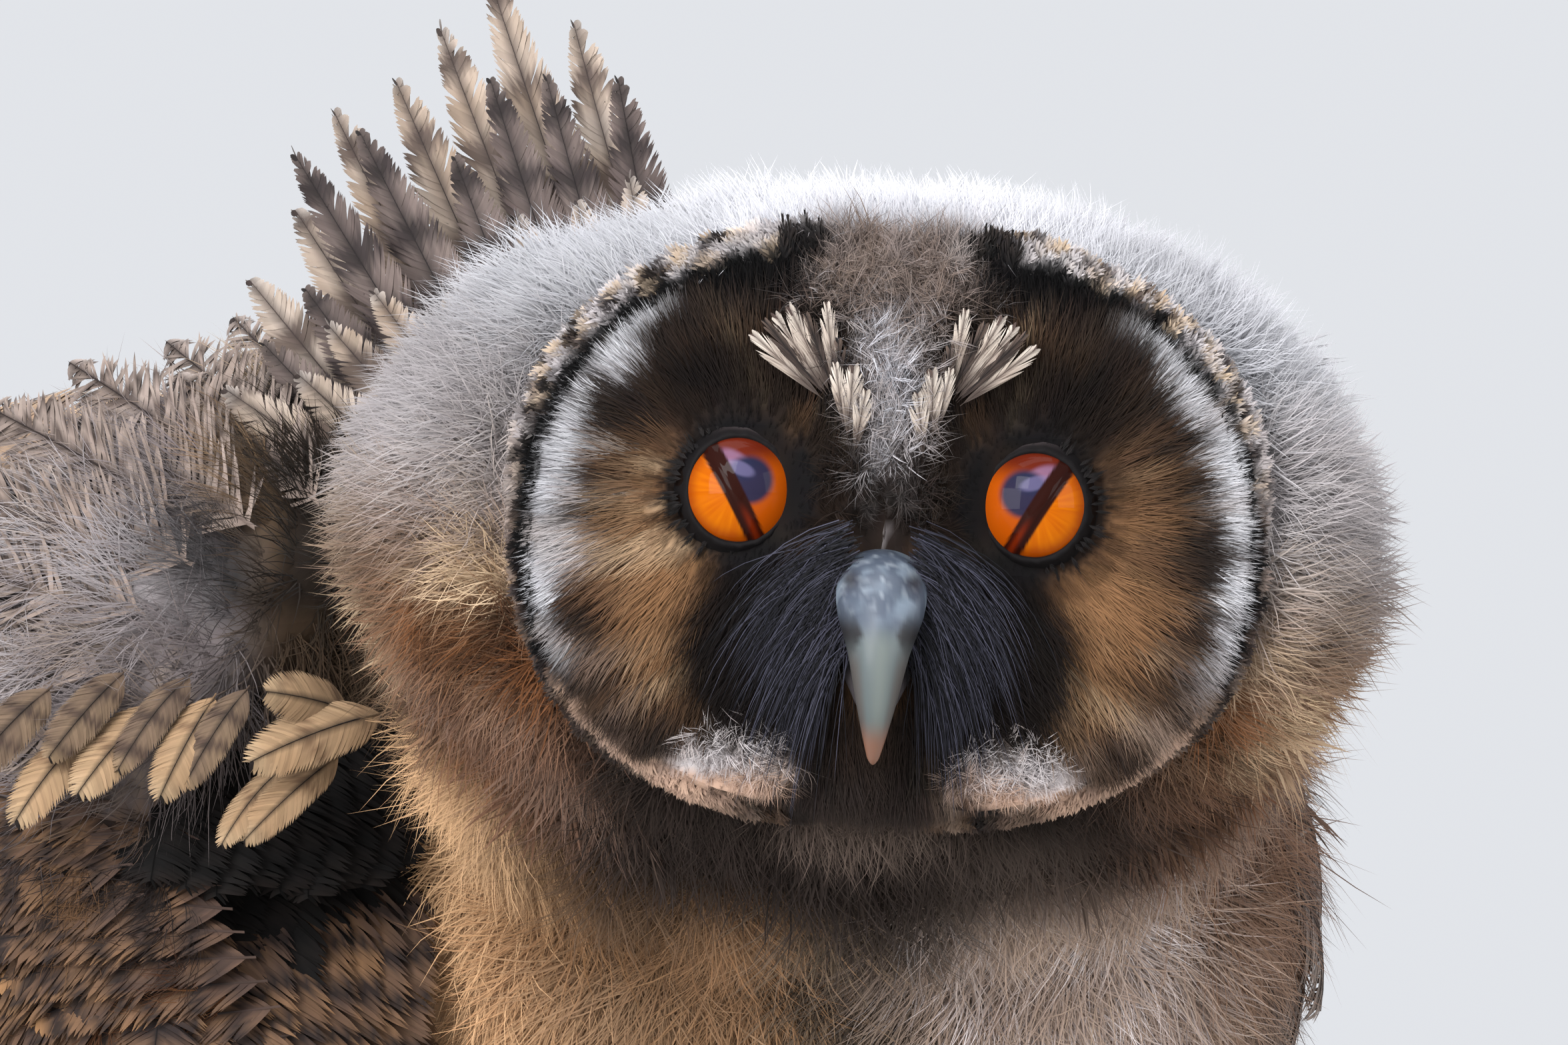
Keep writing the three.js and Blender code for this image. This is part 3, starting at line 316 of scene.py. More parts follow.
def head_form(around=96, face_rings=22, skull_rings=26):
    """Points and faces of the head: rings out over the face, then back over the skull."""
    angle = np.linspace(0, 2 * np.pi, around, endpoint=False)
    rings = []
    for i in range(1, face_rings + 1):
        reach = disc_reach(angle) * i / face_rings
        x, z = reach * np.cos(angle), reach * np.sin(angle)
        rings.append(columns(x, -face_forward(x, z), z))
    height = np.where(np.sin(angle) > 0, HEAD_SIZES["crown"], HEAD_SIZES["chin"])
    width = np.where(np.cos(angle) > 0, HEAD_SIZES["half_width"], HEAD_SIZES["cheek"])
    outline = 1 / np.hypot(np.cos(angle) / width, np.sin(angle) / height)
    rim_turn = np.arcsin(disc_reach(angle) / outline)
    for i in range(1, skull_rings):
        share = (i + 1) / (skull_rings + 1)
        skull_turn = rim_turn + (np.pi - rim_turn) * share
        reach = outline * np.sin(skull_turn)
        sink = HEAD_SIZES["sink"] * step(share, 0, 0.6)
        back = -HEAD_SIZES["half_length"] * np.cos(skull_turn)
        rings.append(columns(reach * np.cos(angle), back, reach * np.sin(angle) - sink))
    first = (0, -face_forward(0.0, 0.0), 0)
    last = (0, HEAD_SIZES["half_length"], -HEAD_SIZES["sink"])
    points, faces = loft(rings, first, last)
    return from_head(points), faces


print("head form:", len(head_form()[0]), "points")

# %% [markdown]
# A wing is a run of blade-shaped sections from its leading edge back over its coverts. The half-open
# right wing has an arm and a hand that hangs, and the left wing is folded along the side. The roots of a
# wing's flight feathers and its tiers of coverts are placed by the same frame that shapes its flesh, so
# the frame is one helper. The root of the tail and the padded root of the shoulder feathers are limbs.

# %% Shape the wings
TOP = 58  # the perch's middle, from which the heights of the wings are given
TRAILING_SHARE = 0.42


class Wing:
    """Sections are rows of the leading edge's place, the way the feathers aim, the way the upper side looks,
    the thickness and how far the coverts reach."""

    def __init__(self, *sections):
        columns = list(zip(*sections))
        self.edge, self.aim, self.face = columns[:3]
        self.thick = [[value] for value in columns[3]]
        self.cover = [[value] for value in columns[4]]

    def up(self, share):
        out = unit(curve(self.aim, share))
        face = curve(self.face, share)
        return unit(face - np.dot(face, out) * out)

    def half(self, share, along):
        taper = 1.15 + (TRAILING_SHARE - 1.15) * along
        return curve(self.thick, share)[0] * math.sqrt(max(along * (1 - along), 0)) * taper

    def middle(self, share, along, raised=0):
        reach = along * curve(self.cover, share)[0]
        return curve(self.edge, share) + reach * unit(curve(self.aim, share)) + raised * self.up(share)

    def top(self, share, along, raised=0):
        return self.middle(share, along, self.half(share, along) + raised)

    def form(self, rings=24, around=32):
        made = []
        for share in np.linspace(0, 1, rings):
            angles = 2 * np.pi * (np.arange(around) + 0.5) / around
            alongs = (1 - np.cos(angles)) / 2
            sides = np.sign(np.sin(angles))
            pairs = zip(alongs, sides)
            made.append(np.array([self.middle(share, a, s * self.half(share, a)) for a, s in pairs]))
        return loft(made)


right_arm = Wing(
    ((-34, -10, TOP + 144), (-0.3, 0.8, 0.5), (-0.45, -0.45, 0.8), 28, 48),
    ((-51, -30, TOP + 144), (-0.45, 0.75, 0.48), (-0.45, -0.45, 0.8), 32, 58),
    ((-70, -40, TOP + 136), (-0.7, 0.62, 0.34), (-0.5, -0.5, 0.7), 30, 58),
    ((-82, -41, TOP + 121), (-0.82, 0.52, 0.02), (-0.5, -0.62, 0.6), 25, 52),
)
right_hand = Wing(
    ((-82.5, -40.6, TOP + 119), (-0.83, 0.5, -0.04), (-0.5, -0.62, 0.6), 24, 52),
    ((-76, -40, TOP + 103), (-0.84, 0.4, -0.3), (-0.5, -0.66, 0.55), 20, 52),
    ((-66, -30, TOP + 84), (-0.72, 0.36, -0.58), (-0.5, -0.7, 0.5), 10, 40),
)
left_arm = Wing(
    ((51, -24, TOP + 118), (-0.04, 0.8, -0.6), (1, 0.1, 0.15), 13, 72),
    ((50, -16, TOP + 134), (-0.08, 0.8, -0.6), (1, 0.15, 0.4), 17, 84),
    ((40, -2, TOP + 148), (-0.12, 0.82, -0.57), (0.75, 0.3, 0.7), 16, 78),
)
left_hand = Wing(
    ((50, -20, TOP + 98), (-0.04, 0.8, -0.6), (1, 0.1, -0.15), 8, 60),
    ((51, -23, TOP + 107), (-0.05, 0.8, -0.6), (1, 0.1, 0), 11, 74),
    ((51, -24, TOP + 116), (-0.06, 0.8, -0.6), (1, 0.1, 0.15), 12, 78),
)
BODY_LEAN = math.radians(42)
body_middle = np.array([0, 14, TOP + 96])
body_forward = np.array([0, -math.cos(BODY_LEAN), math.sin(BODY_LEAN)])
body_back = np.array([0, math.sin(BODY_LEAN), math.cos(BODY_LEAN)])
TAIL_DROOP = math.radians(36)
tail_root = body_middle - 72 * body_forward + 8 * body_back
tail_aim = np.array([0, math.cos(TAIL_DROOP), -math.sin(TAIL_DROOP)])
tail_up = np.array([0, math.sin(TAIL_DROOP), math.cos(TAIL_DROOP)])
tail_form = limb([
    (tail_root - 14 * tail_aim, 17, 13, 13),
    (tail_root + 8 * tail_aim, 16, 10, 11),
    (tail_root + 34 * tail_aim, 15, 5, 6),
], closing=(0.2, 0.35))
pad_form = limb([
    ((-10, 14, TOP + 151), 12, 9, 9),
    ((-30, 7, TOP + 152), 13, 11, 11),
    ((-50, -7, TOP + 146), 12, 10, 10),
], side=(0, 1, 0))
print("tail form:", len(tail_form[0]), "points, shoulder form:", len(pad_form[0]), "points")

# %% [markdown]
# One skin replaces the separate solids of the flesh, so that no seam shows under the coat. Copies of
# the solids and of the finer forms above are put in one mesh, and a voxel remesh melts the overlapping
# shells together. A few rounds of smoothing round off the steps. The solids reach to the tips of the
# down, so the skin is then drawn in by the depth that the down has at each place.

# %% Melt one skin
FLESH_NODES = ["torso", "neck", "thigh_right", "thigh_left", "foot_right", "foot_left"]
SKIN_VOXEL = 1.6


def solid_form(node):
    """Points in millimetres and faces of a solid, with its loose triangles joined."""
    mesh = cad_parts[node].data
    points = np.zeros(len(mesh.vertices) * 3)
    mesh.vertices.foreach_get("co", points)
    points = points.reshape(-1, 3) / MM
    places, joined = np.unique(points.round(3), axis=0, return_inverse=True)
    faces = [tuple(joined.ravel()[list(face.vertices)]) for face in mesh.polygons]
    return places, [face for face in faces if len(set(face)) == len(face)]


forms = {node: solid_form(node) for node in FLESH_NODES}
forms.update(
    head=head_form(),
    tail=tail_form,
    shoulder=pad_form,
    right_arm=right_arm.form(),
    right_hand=right_hand.form(),
    left_arm=left_arm.form(),
    left_hand=left_hand.form(),
)


def baked_down(piece):
    """The object's evaluated mesh in place of its modifiers."""
    depsgraph = bpy.context.evaluated_depsgraph_get()
    mesh = bpy.data.meshes.new_from_object(piece.evaluated_get(depsgraph), depsgraph=depsgraph)
    piece.modifiers.clear()
    piece.data = mesh
    return mesh


def positions(mesh):
    points = np.zeros(len(mesh.vertices) * 3, np.float32)
    mesh.vertices.foreach_get("co", points)
    return points.reshape(-1, 3) / MM


def normals(mesh):
    values = np.zeros(len(mesh.vertices) * 3, np.float32)
    mesh.vertex_normals.foreach_get("vector", values)
    return values.reshape(-1, 3)


all_points, all_faces, start = [], [], 0
for points, faces in forms.values():
    all_points.append(points)
    all_faces += [tuple(start + i for i in face) for face in faces]
    start += len(points)
skin = mesh_piece("skin", np.vstack(all_points), all_faces)
remesh = skin.modifiers.new("melt", "REMESH")
remesh.mode = "VOXEL"
remesh.voxel_size = SKIN_VOXEL * MM
relax = skin.modifiers.new("relax", "SMOOTH")
relax.factor = 0.5
relax.iterations = 6
baked_down(skin)
print("skin:", len(skin.data.vertices), "points")

# %% [markdown]
# Down differs from place to place. It is short and flat on the face, upright and woolly on the crown,
# long and loose on the breast and belly, and close on the toes. Each region states its depth, length,
# lift above the skin and how crowded its tufts are, and every point of the skin blends the regions that
# it lies near.

# %% Give each region its down
REGIONS = {
    # depth, length, lift in degrees, tufts to the square millimetre
    "head": (6.0, 8.6, 54, 1.05),
    "neck": (7.5, 14.0, 36, 0.42),
    "torso": (8.0, 17.0, 32, 0.13),
    "thigh_right": (6.0, 14.0, 32, 0.18),
    "thigh_left": (6.0, 14.0, 32, 0.18),
    "foot_right": (1.2, 4.2, 20, 0.45),
    "foot_left": (1.2, 4.2, 20, 0.45),
    "tail": (3.0, 14.0, 14, 0.2),
    "shoulder": (3.0, 12.0, 34, 0.3),
    "right_arm": (3.0, 12.0, 30, 0.3),
    "right_hand": (1.5, 8.0, 20, 0.3),
    "left_arm": (2.5, 11.0, 22, 0.2),
    "left_hand": (1.5, 8.0, 18, 0.2),
}
BLEND_REACH = 5.0


def ruff_limit(x, z):
    """How far out the speckled ruff reaches: wider above, and parted by the forehead's down."""
    return 1.055 + 0.075 * step(z, -5, 26) - 0.2 * step(z, 20, 28) * step(np.abs(x), 10.5, 7.5)


def wedge_half(z):
    """Half the width of the grey wedge that runs down the forehead."""
    return np.interp(z, [4, 8, 16, 24, 36], [2.4, 3.8, 5.4, 6.4, 11])


outer = positions(skin.data)
outward = normals(skin.data)
distances = {}
for part, (points, faces) in forms.items():
    tree = BVHTree.FromPolygons(points.tolist(), faces)
    distances[part] = np.array([tree.find_nearest(point)[3] for point in outer.tolist()])
nearest = np.stack([distances[part] for part in REGIONS])
weights = np.exp(-(((nearest - nearest.min(0)) / BLEND_REACH) ** 2))
weights /= weights.sum(0)
depth, length, lift, crowd = (np.array([REGIONS[part][k] for part in REGIONS]) @ weights for k in range(4))
weight_of = dict(zip(REGIONS, weights))
print("blended", len(REGIONS), "regions over", len(outer), "points")

# %% [markdown]
# The face is finer than any region. Its down is short round the eyes and the bill, shorter still on the
# ruff, and curly on the wedge of the forehead and on the pale patches beside the chin. The skin is then
# drawn in.

# %% Give the face its down
face_x, face_y, face_z = to_head(outer).T
face_side = np.abs(face_x)
rim = rim_share(face_x, face_z)
in_front = step(face_y, -18, -26) * step(weight_of["head"], 0.2, 0.6)
on_disc = in_front * step(rim, 1.03, 0.99)
ruff_band = in_front * step(rim, 0.965, 0.98) * step(rim - ruff_limit(face_x, face_z), 0.02, -0.02)
off_bill = np.hypot(face_x / 5.2, (face_z + 4) / 5.6) > 1
from_eye = np.hypot(face_side - EYE_SIDE, face_z - EYE_HEIGHT)
from_bill = np.hypot(face_x / 1.1, np.maximum(np.abs(face_z + 12) - 8, 0))
face_length = 5.6 * step(from_eye, 5.5, 14) * (0.35 + 0.65 * step(from_bill, 3, 11)) + 1.2
for shorter, share in (
    (3.4, step(rim, 0.8, 0.97)),
    (3.0, step(from_eye, 10, 7.5)),
    (2.4, step(np.hypot(face_x / 5.5, (face_z + 5) / 8), 1.3, 0.8)),
    (3.2, step(np.hypot((face_side - 17) / 10, (face_z + 31) / 6.5), 1.2, 0.9)),
):
    face_length = face_length - shorter * share
depth = depth + step(face_z, 18, 42) * weight_of["head"] * (1 - on_disc) * 1.5
for share, near_depth, near_length, near_lift, near_crowd in (
    (on_disc, 2.0 - 1.5 * step(from_eye, 11.5, 8.5), np.maximum(face_length, 1.2), 17, 2.2),
    (ruff_band, 1.6, 1.9, 30, 3.2),
):
    depth = depth + share * (near_depth - depth)
    length = length + share * (near_length - length)
    lift = lift + share * (near_lift - lift)
    crowd = crowd + share * (near_crowd - crowd)
depth = depth + 2.6 * on_disc * step(np.hypot(face_x / 6, (face_z + 3) / 5), 1.3, 0.8)
wedge_curls = on_disc * step(face_side - wedge_half(face_z), 1.4, -0.4) * step(face_z, 6, 9)
patch_curls = on_disc * step(np.hypot((face_side - 17) / 8.4, (face_z + 30.5) / 5), 1.1, 0.85)
forehead_curls = in_front * step(face_side, 12.5, 10.5) * step(face_z, 21, 25) * step(face_z, 42, 38)
bill_curls = 0.45 * on_disc * step(face_side, 8.5, 7) * step(np.abs(face_z - 3), 4.5, 3.5)
curled_share = np.max([wedge_curls, patch_curls, forehead_curls * (1 - ruff_band), bill_curls], axis=0)
skin_points = outer - outward * depth[:, None]
skin.data.vertices.foreach_set("co", (skin_points * MM).astype(np.float32).ravel())
skin.data.update()
print("skin drawn in by", depth.min().round(1), "to", depth.max().round(1), "mm")

# %% [markdown]
# Nothing on a young bird is even. Value noise gives the unevenness of its locks and markings: it gives
# each corner of a lattice a random number and blends between the corners. A cloud adds finer noise on
# top.

# %% Make noise
def lattice(cells, seed):
    """A number from 0 to 1 for each row of whole numbers."""
    mixed = (cells.astype(np.int64) * np.array([73856093, 19349663, 83492791])).sum(1) + seed * 2654435761
    mixed = (mixed ^ (mixed >> 13)) * 1274126177 & 0xFFFFFFFF
    return ((mixed ^ (mixed >> 16)) & 0xFFFF) / 0xFFFF


def noise(points, size, seed=0):
    """Smooth noise from -1 to 1 whose bumps are about size across."""
    places = np.asarray(points, float) / size
    base = np.floor(places)
    share = places - base
    share = share * share * (3 - 2 * share)
    total = np.zeros(len(places))
    for corner in np.ndindex(2, 2, 2):
        near = np.prod(np.where(np.array(corner) == 1, share, 1 - share), 1)
        total += near * lattice(base + corner, seed)
    return 2 * total - 1


def cloud(points, size, seed=0):
    """Noise with finer noise on top."""
    coarse, middle, fine = (noise(points, size / finer, seed + i) for i, finer in enumerate((1, 2.3, 5)))
    return 0.6 * coarse + 0.3 * middle + 0.1 * fine


print("cloud at the eye:", cloud(np.array([[EYE_SIDE, 0, EYE_HEIGHT]]), 9).round(2))

# %% [markdown]
# Down lies the way it grew. On the face it rays out from the eyes and the bill, on the crown it leans
# away from the rim of the face, and on the body it runs back and down along the trunk, and down the
# legs to the toes.

# %% Lay the down
def flat_to(vectors, surface_normals):
    """The vectors laid into the surface."""
    along = np.sum(vectors * surface_normals, 1, keepdims=True)
    return unit(vectors - along * surface_normals)


def face_lie(x, z):
    """The way that down lies on the face, out from the eyes and the bill."""
    side = np.where(x < 0, -1, 1)
    eye_way = columns(x - side * EYE_SIDE, z - EYE_HEIGHT)
    bill_way = columns(x - side * 2, z + 3 + np.clip(-z - 6, 0, 12))
    eye_pull = bump(np.linalg.norm(eye_way, axis=1), 17)[:, None] + 0.25
    bill_pull = bump(np.linalg.norm(bill_way, axis=1), 13)[:, None]
    way = unit(eye_way) * eye_pull + unit(bill_way) * bill_pull * 1.6
    return columns(way[:, 0], 0, way[:, 1])


away = unit(columns(face_x, 0, face_z)) * 0.9 + np.array([0, 0.75, -0.1])
head_way = (away + on_disc[:, None] * (face_lie(face_x, face_z) - away)) @ ROLL.T
trunk_way, leg_way = (0, 0.74, -0.67), (0, -0.1, -1.0)
foot_way = unit(columns(0, outer[:, 1] - 1, -0.35))
WAYS = {
    "head": head_way,
    "neck": trunk_way,
    "torso": trunk_way,
    "tail": tail_aim,
    "thigh_right": leg_way,
    "thigh_left": leg_way,
    "foot_right": foot_way,
    "foot_left": foot_way,
    "shoulder": (-0.55, 0.2, 0.8),
    "right_arm": (-0.72, 0.5, -0.35),
    "right_hand": (-0.75, 0.35, -0.5),
    "left_arm": (-0.08, 0.8, -0.6),
    "left_hand": (-0.05, 0.8, -0.6),
}
lie = np.zeros_like(outer)
for part, way in WAYS.items():
    lie += weight_of[part][:, None] * np.asarray(way)
lie = flat_to(lie, outward)
loose_share = np.clip(1 - on_disc - ruff_band, 0, 1)
swirl = 1.1 * loose_share * cloud(outer, 9, 35)
lie = lie * np.cos(swirl)[:, None] + np.cross(outward, lie) * np.sin(swirl)[:, None]
length = length * (1 + 0.35 * loose_share * cloud(outer, 7, 36))
length = length * (1 - 0.25 * loose_share * step(face_z, 28, 42))
lift = lift * (1 + 0.5 * loose_share * cloud(outer, 6, 37))
print("locks turned by up to", round(math.degrees(np.abs(swirl).max())), "degrees")

# %% [markdown]
# The markings are one function of place, used for the skin and for every tuft, so that both carry the
# same pattern. A canvas starts in one colour, and each further colour is laid on by a share between 0
# and 1: a soft ellipse, a band between two steps, or either of them broken up by noise.

# %% Draw patches
def blob(x, z, middle, radii, turned=0):
    """1 in the middle of an ellipse, falling to 0 outside it. turned is in degrees."""
    c, s = math.cos(math.radians(turned)), math.sin(math.radians(turned))
    dx, dz = x - middle[0], z - middle[1]
    share = np.hypot((c * dx + s * dz) / radii[0], (c * dz - s * dx) / radii[1])
    return step(share, 1.25, 0.75)


class Canvas:
    """Colours of a row of points, to which further colours are laid on."""

    def __init__(self, colour, count):
        self.colours = np.tile(colour, (count, 1))

    def lay(self, colour, amount):
        share = np.clip(amount, 0, 1)[:, None]
        self.colours = self.colours + share * (colour - self.colours)

    def light(self, factor):
        """Makes the colours lighter, or darker for a factor below 1."""
        self.colours = self.colours * factor[:, None]


BLACK, DARK, UMBER = srgb(15, 14, 16), srgb(44, 36, 33), srgb(74, 56, 42)
OCHRE, HONEY, RUST = srgb(122, 90, 64), srgb(152, 112, 78), srgb(138, 88, 54)
WHITE, CREAM, PALE_GREY = srgb(222, 222, 228), srgb(196, 164, 144), srgb(196, 190, 192)
WEDGE_GREY, BUFF, SAND = srgb(172, 164, 164), srgb(196, 172, 146), srgb(236, 208, 172)
GREY_BROWN, ASH, COOL_GREY = srgb(138, 120, 110), srgb(92, 82, 80), srgb(206, 206, 214)
MAUVE, BREAST_BUFF = srgb(150, 139, 140), srgb(176, 142, 108)
print("a blob from its middle out:", blob(np.linspace(0, 9, 4), np.zeros(4), (0, 0), (6, 6)).round(2))

# %% [markdown]
# The young owl's face is dark round the bill and the eyes, ochre towards the cheeks and framed by a
# white crescent, a thin black line and a finely speckled ruff. A grey wedge of down runs down the
# forehead, and two pale patches sit below, beside the chin. The face is drawn in the head's frame,
# where its two sides are alike.

# %% Mark the face
SPECKLE_SIZE = 0.6


def face_colour(places):
    """Linear colours of places in the head's frame."""
    plain_x, plain_z = places[:, 0], places[:, 2]
    flat = columns(plain_x, 0, plain_z)
    x = plain_x + 0.7 * cloud(flat, 4, 5)
    z = plain_z + 0.7 * cloud(flat, 4, 9)
    wide, side = np.abs(plain_x), np.abs(x)
    ring = rim_share(plain_x, plain_z) + 0.008 * cloud(flat, 5, 11)
    angle = np.degrees(np.arctan2(z - RIM_HEIGHT, side))
    eye_gap = np.hypot(side - EYE_SIDE, z - EYE_HEIGHT)
    turn = np.arctan2(plain_z - RIM_HEIGHT, plain_x)
    rays = noise(columns(turn * 16, ring * 3, 0), 1, 13)
    rays = rays + 0.6 * noise(columns(turn * 44, ring * 5, 0), 1, 14)
    patches = cloud(flat, 5, 15)
    canvas = Canvas(OCHRE, len(x))
    lay = canvas.lay

    # the open face, with rays out from its middle
    lay(HONEY, 0.75 * blob(side, z, (28, -9), (8, 12), 12) + 0.3 * rays)
    lay(UMBER, 0.8 * blob(side, z, (21, 19), (15, 10), 10) + 0.45 * patches)
    lay(DARK, step(rays, 0.1, 0.8) * 0.45)
    lay(SAND, step(-rays, 0.45, 1.0) * 0.35)
    lay(DARK, 0.8 * blob(side, z, (24, 24), (16, 7), -30))
    lay(UMBER, 0.5 * blob(side, z, (24, -27), (12, 6)))
    lay(DARK, step(ring, 0.6, 0.8) * (0.85 + 0.5 * rays))
    lay(GREY_BROWN, step(ring, 0.66, 0.8) * step(-rays, 0.2, 0.8) * step(z, 8, -6) * 0.7)

    # the dark round the bill and the eyes
    lay(BLACK, 0.97 * blob(side, z, (12.5, -15), (9.5, 13), -14))
    lay(BLACK, 0.9 * blob(side, z, (7, 4), (5.5, 9)))
    lay(BLACK, 0.95 * blob(side, z, (14, 27.5), (11.5, 4.6), -16))
    lay(BLACK, 0.85 * blob(side, z, (9.5, 20), (3.2, 12), -12))
    lay(BLACK, 0.85 * blob(side, z, (18, 12.5), (9, 4.2), -14))
    lay(BLACK, 0.95 * step(eye_gap, 10.4, 8.2))
    lay(BLACK, 0.9 * blob(side, z, (0, -27), (9, 6)))
    lay(DARK, 0.9 * blob(side, z, (0, -34), (9, 5)))

    # the wedge of the forehead and the fine lines above the bill
    wedge = step(side - wedge_half(z), 1.4, -1.2) * step(z, 3, 8)
    threads = step(noise(flat, 0.7, 27), 0.3, 0.6)
    lay(DARK, 0.97 * step(side, 6.5, 4.5) * step(z, -9, -5) * step(z, 12, 7))
    lay(WEDGE_GREY, step(side, 5, 3) * step(z, -7, -3) * step(z, 12, 7) * threads * 0.5)
    lay(WEDGE_GREY, wedge)
    lay(GREY_BROWN, wedge * step(z, 19, 26) * 0.9)
    lay(COOL_GREY, wedge * step(cloud(flat, 3.4, 21), 0.0, 0.35) * step(z, 28, 20))
    lay(DARK, wedge * step(cloud(flat, 2.2, 23), 0.12, 0.4) * 0.75)
    mottled = blob(side, z, (6.8, 26.5), (4.4, 5.5), 20) * step(z, 20, 23)
    lay(GREY_BROWN, mottled * (0.55 + 0.9 * cloud(flat, 1.5, 29)))
    lay(PALE_GREY, mottled * step(noise(flat, 1.0, 33), 0.35, 0.6) * 0.7)

    # the pale crescents
    crescent_inner = 0.8 + 0.06 * rays + 0.06 * step(angle, 30, 46) + 0.05 * step(angle, 6, -14)
    crescent = step(ring - crescent_inner, -0.01, 0.02) * step(ring, 0.972, 0.952)
    crescent = crescent * step(angle, -26, -10) * step(angle, 47, 39)
    lay(WHITE, crescent * (0.75 + 0.4 * rays))
    lay(DARK, crescent * step(rays, 0.25, 0.65) * 0.75)
    lay(DARK, crescent * step(angle, 0, -22) * step(patches, -0.1, 0.3) * 0.7)

    # the pale patches beside the chin, with a black edge below
    low_edge = -34.9 + 0.02 * (side - 17) ** 2 + 0.4 * np.sin(plain_x * 1.3)
    patch = blob(side, z, (17.0, -30.0), (7.6, 5.0), -14) * step(z, low_edge - 0.3, low_edge + 0.3)
    lay(CREAM, patch)
    lay(PALE_GREY, patch * step(z + 0.1 * side, -30.2, -28.2) * 0.95)
    below = low_edge - z
    lay(BLACK, step(below, 0.1, 0.6) * step(below, 2.4, 1.4) * step(np.abs(side - 17), 12, 9) * 0.9)

    # the thin line round the face, which the down of the forehead parts
    parted = step(plain_z, 20, 28) * step(wide, 10, 7.5)
    line = step(np.abs(ring - 0.99), 0.028, 0.018) * (1 - parted)
    lay(BLACK, line * step(angle, -32, -18))
    pale_line = step(np.abs(ring - 0.985), 0.026, 0.014) * step(angle, -20, -27) * step(angle, -68, -60)
    lay(CREAM, pale_line * (0.6 + 0.6 * patches))
    lay(BLACK, step(np.abs(ring - 1.03), 0.024, 0.012) * step(angle, -16, -26) * 0.95)

    # the speckled ruff, and the marks between the ear tufts
    grains = np.floor(columns(plain_x + 0.5 * plain_z, plain_z, 0) / SPECKLE_SIZE)
    speckle = lattice(grains, 31) - 0.05 * patches
    ruff = step(ring, 1.012, 1.022) * (1 - parted)
    upper = ruff * step(angle, -5, 30)
    lay(ASH, ruff * 0.95)
    lay(GREY_BROWN, ruff * (speckle < 0.55) * 0.8)
    lay(PALE_GREY, upper * (speckle < 0.7) * 0.85)
    lay(BUFF, upper * (speckle < 0.24) * 0.9)
    lay(DARK, ruff * (speckle > 0.74) * 0.9)
    lay(BLACK, ruff * (speckle > 0.9) * 0.8)
    lay(DARK, ruff * step(angle, -12, -30) * 0.9)
    lay(PALE_GREY, ruff * 0.85 * blob(wide, plain_z, (18, 31.0), (4.6, 1.2), -22))
    lay(BLACK, 0.95 * blob(wide, plain_z, (10.4, 32.4), (2.7, 1.9)))
    lay(GREY_BROWN, parted * step(plain_z, 24, 30) * (0.9 + 0.3 * patches))
    lay(ASH, parted * step(plain_z, 24, 30) * step(patches, 0.0, 0.3) * 0.7)
    lay(PALE_GREY, parted * step(plain_z, 36, 42))
    return canvas.colours


print("colour beside the bill:", face_colour(np.array([[9.0, -38.0, -9.0]])).round(3))

# %% [markdown]
# Away from the face the down is pale grey on the crown, buff on the cheeks and rusty where the neck
# begins. The breast is buff on the bird's right, grey-brown on its left and split by a dark streak, and
# faint bars cross the belly and the back. Head and body are two canvases, blended where they meet, and
# the face is laid over both. The breast and the sides of the head are painted lighter as painted light
# where they lie in shade, and painted shadow lies dark beside the neck and in the hollow between the
# right wing and the neck.

# %% Mark the body
def behind(world_y, world_z):
    """How far back of the sloping line along the trunk's side a place is, in mm."""
    return world_y - 0.9 * (world_z - 150)


def head_colour(places, patches, flecks, bars, clump):
    """Linear colours of the crown, the cheeks and the nape, from places in the head's frame."""
    x, y, z = places.T
    wide = np.abs(x)
    high = z + step(x, -20, 30) * 8 + 3 + 3 * patches
    head = Canvas(GREY_BROWN, len(x))
    lay = head.lay

    # cheeks and chin
    lay(RUST, step(high, -8, -20) * (0.5 + 0.7 * flecks) * step(wide, 20, 40))
    lay(HONEY, bump(high + 12, 9) * (0.6 + 0.5 * patches) * step(wide, 30, 44))
    lay(RUST, step(clump, 0.0, 0.3) * step(high, -4, -14) * step(wide, 30, 42) * 0.9)
    pale_clump = step(clump, -0.05, -0.3) * step(high, 2, -8) * step(high, -22, -12)
    lay(SAND, pale_clump * step(wide, 34, 44) * 0.7)
    lay(DARK, 0.75 * step(flecks, 0.1, 0.4) * step(high, -2, -18))
    under_chin = step(wide, 40, 26) * step(z, -20, -36)
    lay(DARK, under_chin * (0.85 - 0.45 * step(x, 4, 22) * step(z, -36, -42)))
    # painted light: the side of the head on the bird's left is made lighter where it lies in shade
    head.light(1 + 0.5 * step(x, 26, 44) * step(z, -34, -24))

    # crown and temples
    lay(BUFF, step(high, -14, 0) * step(flecks, -0.2, 0.3) * 0.6)
    lay(PALE_GREY, step(high, -5, 14) * (0.95 + 0.2 * patches))
    lay(WHITE, step(high, 16, 34) * step(y, 34, -10))
    head.light(1 - (0.2 - 0.04 * step(x, -10, 10)) * (step(wide, 14, 36) * step(z, 4, 22)))
    # painted light: the lower side of the head on the bird's right is made lighter where it lies in shade
    head.light(1 + 0.35 * step(x, -26, -42) * step(z, 10, -4))
    brow_down = step(wide, 13, 8) * step(z, 41, 34) * step(y, -10, -18)
    lay(GREY_BROWN, brow_down * (0.9 + 0.3 * flecks))
    lay(ASH, 0.35 * step(bars, 0.2, 0.9) * step(y, -24, 4) * step(high, 40, 10))
    lay(GREY_BROWN, step(y, 10, 44) * 0.35)
    return head.colours


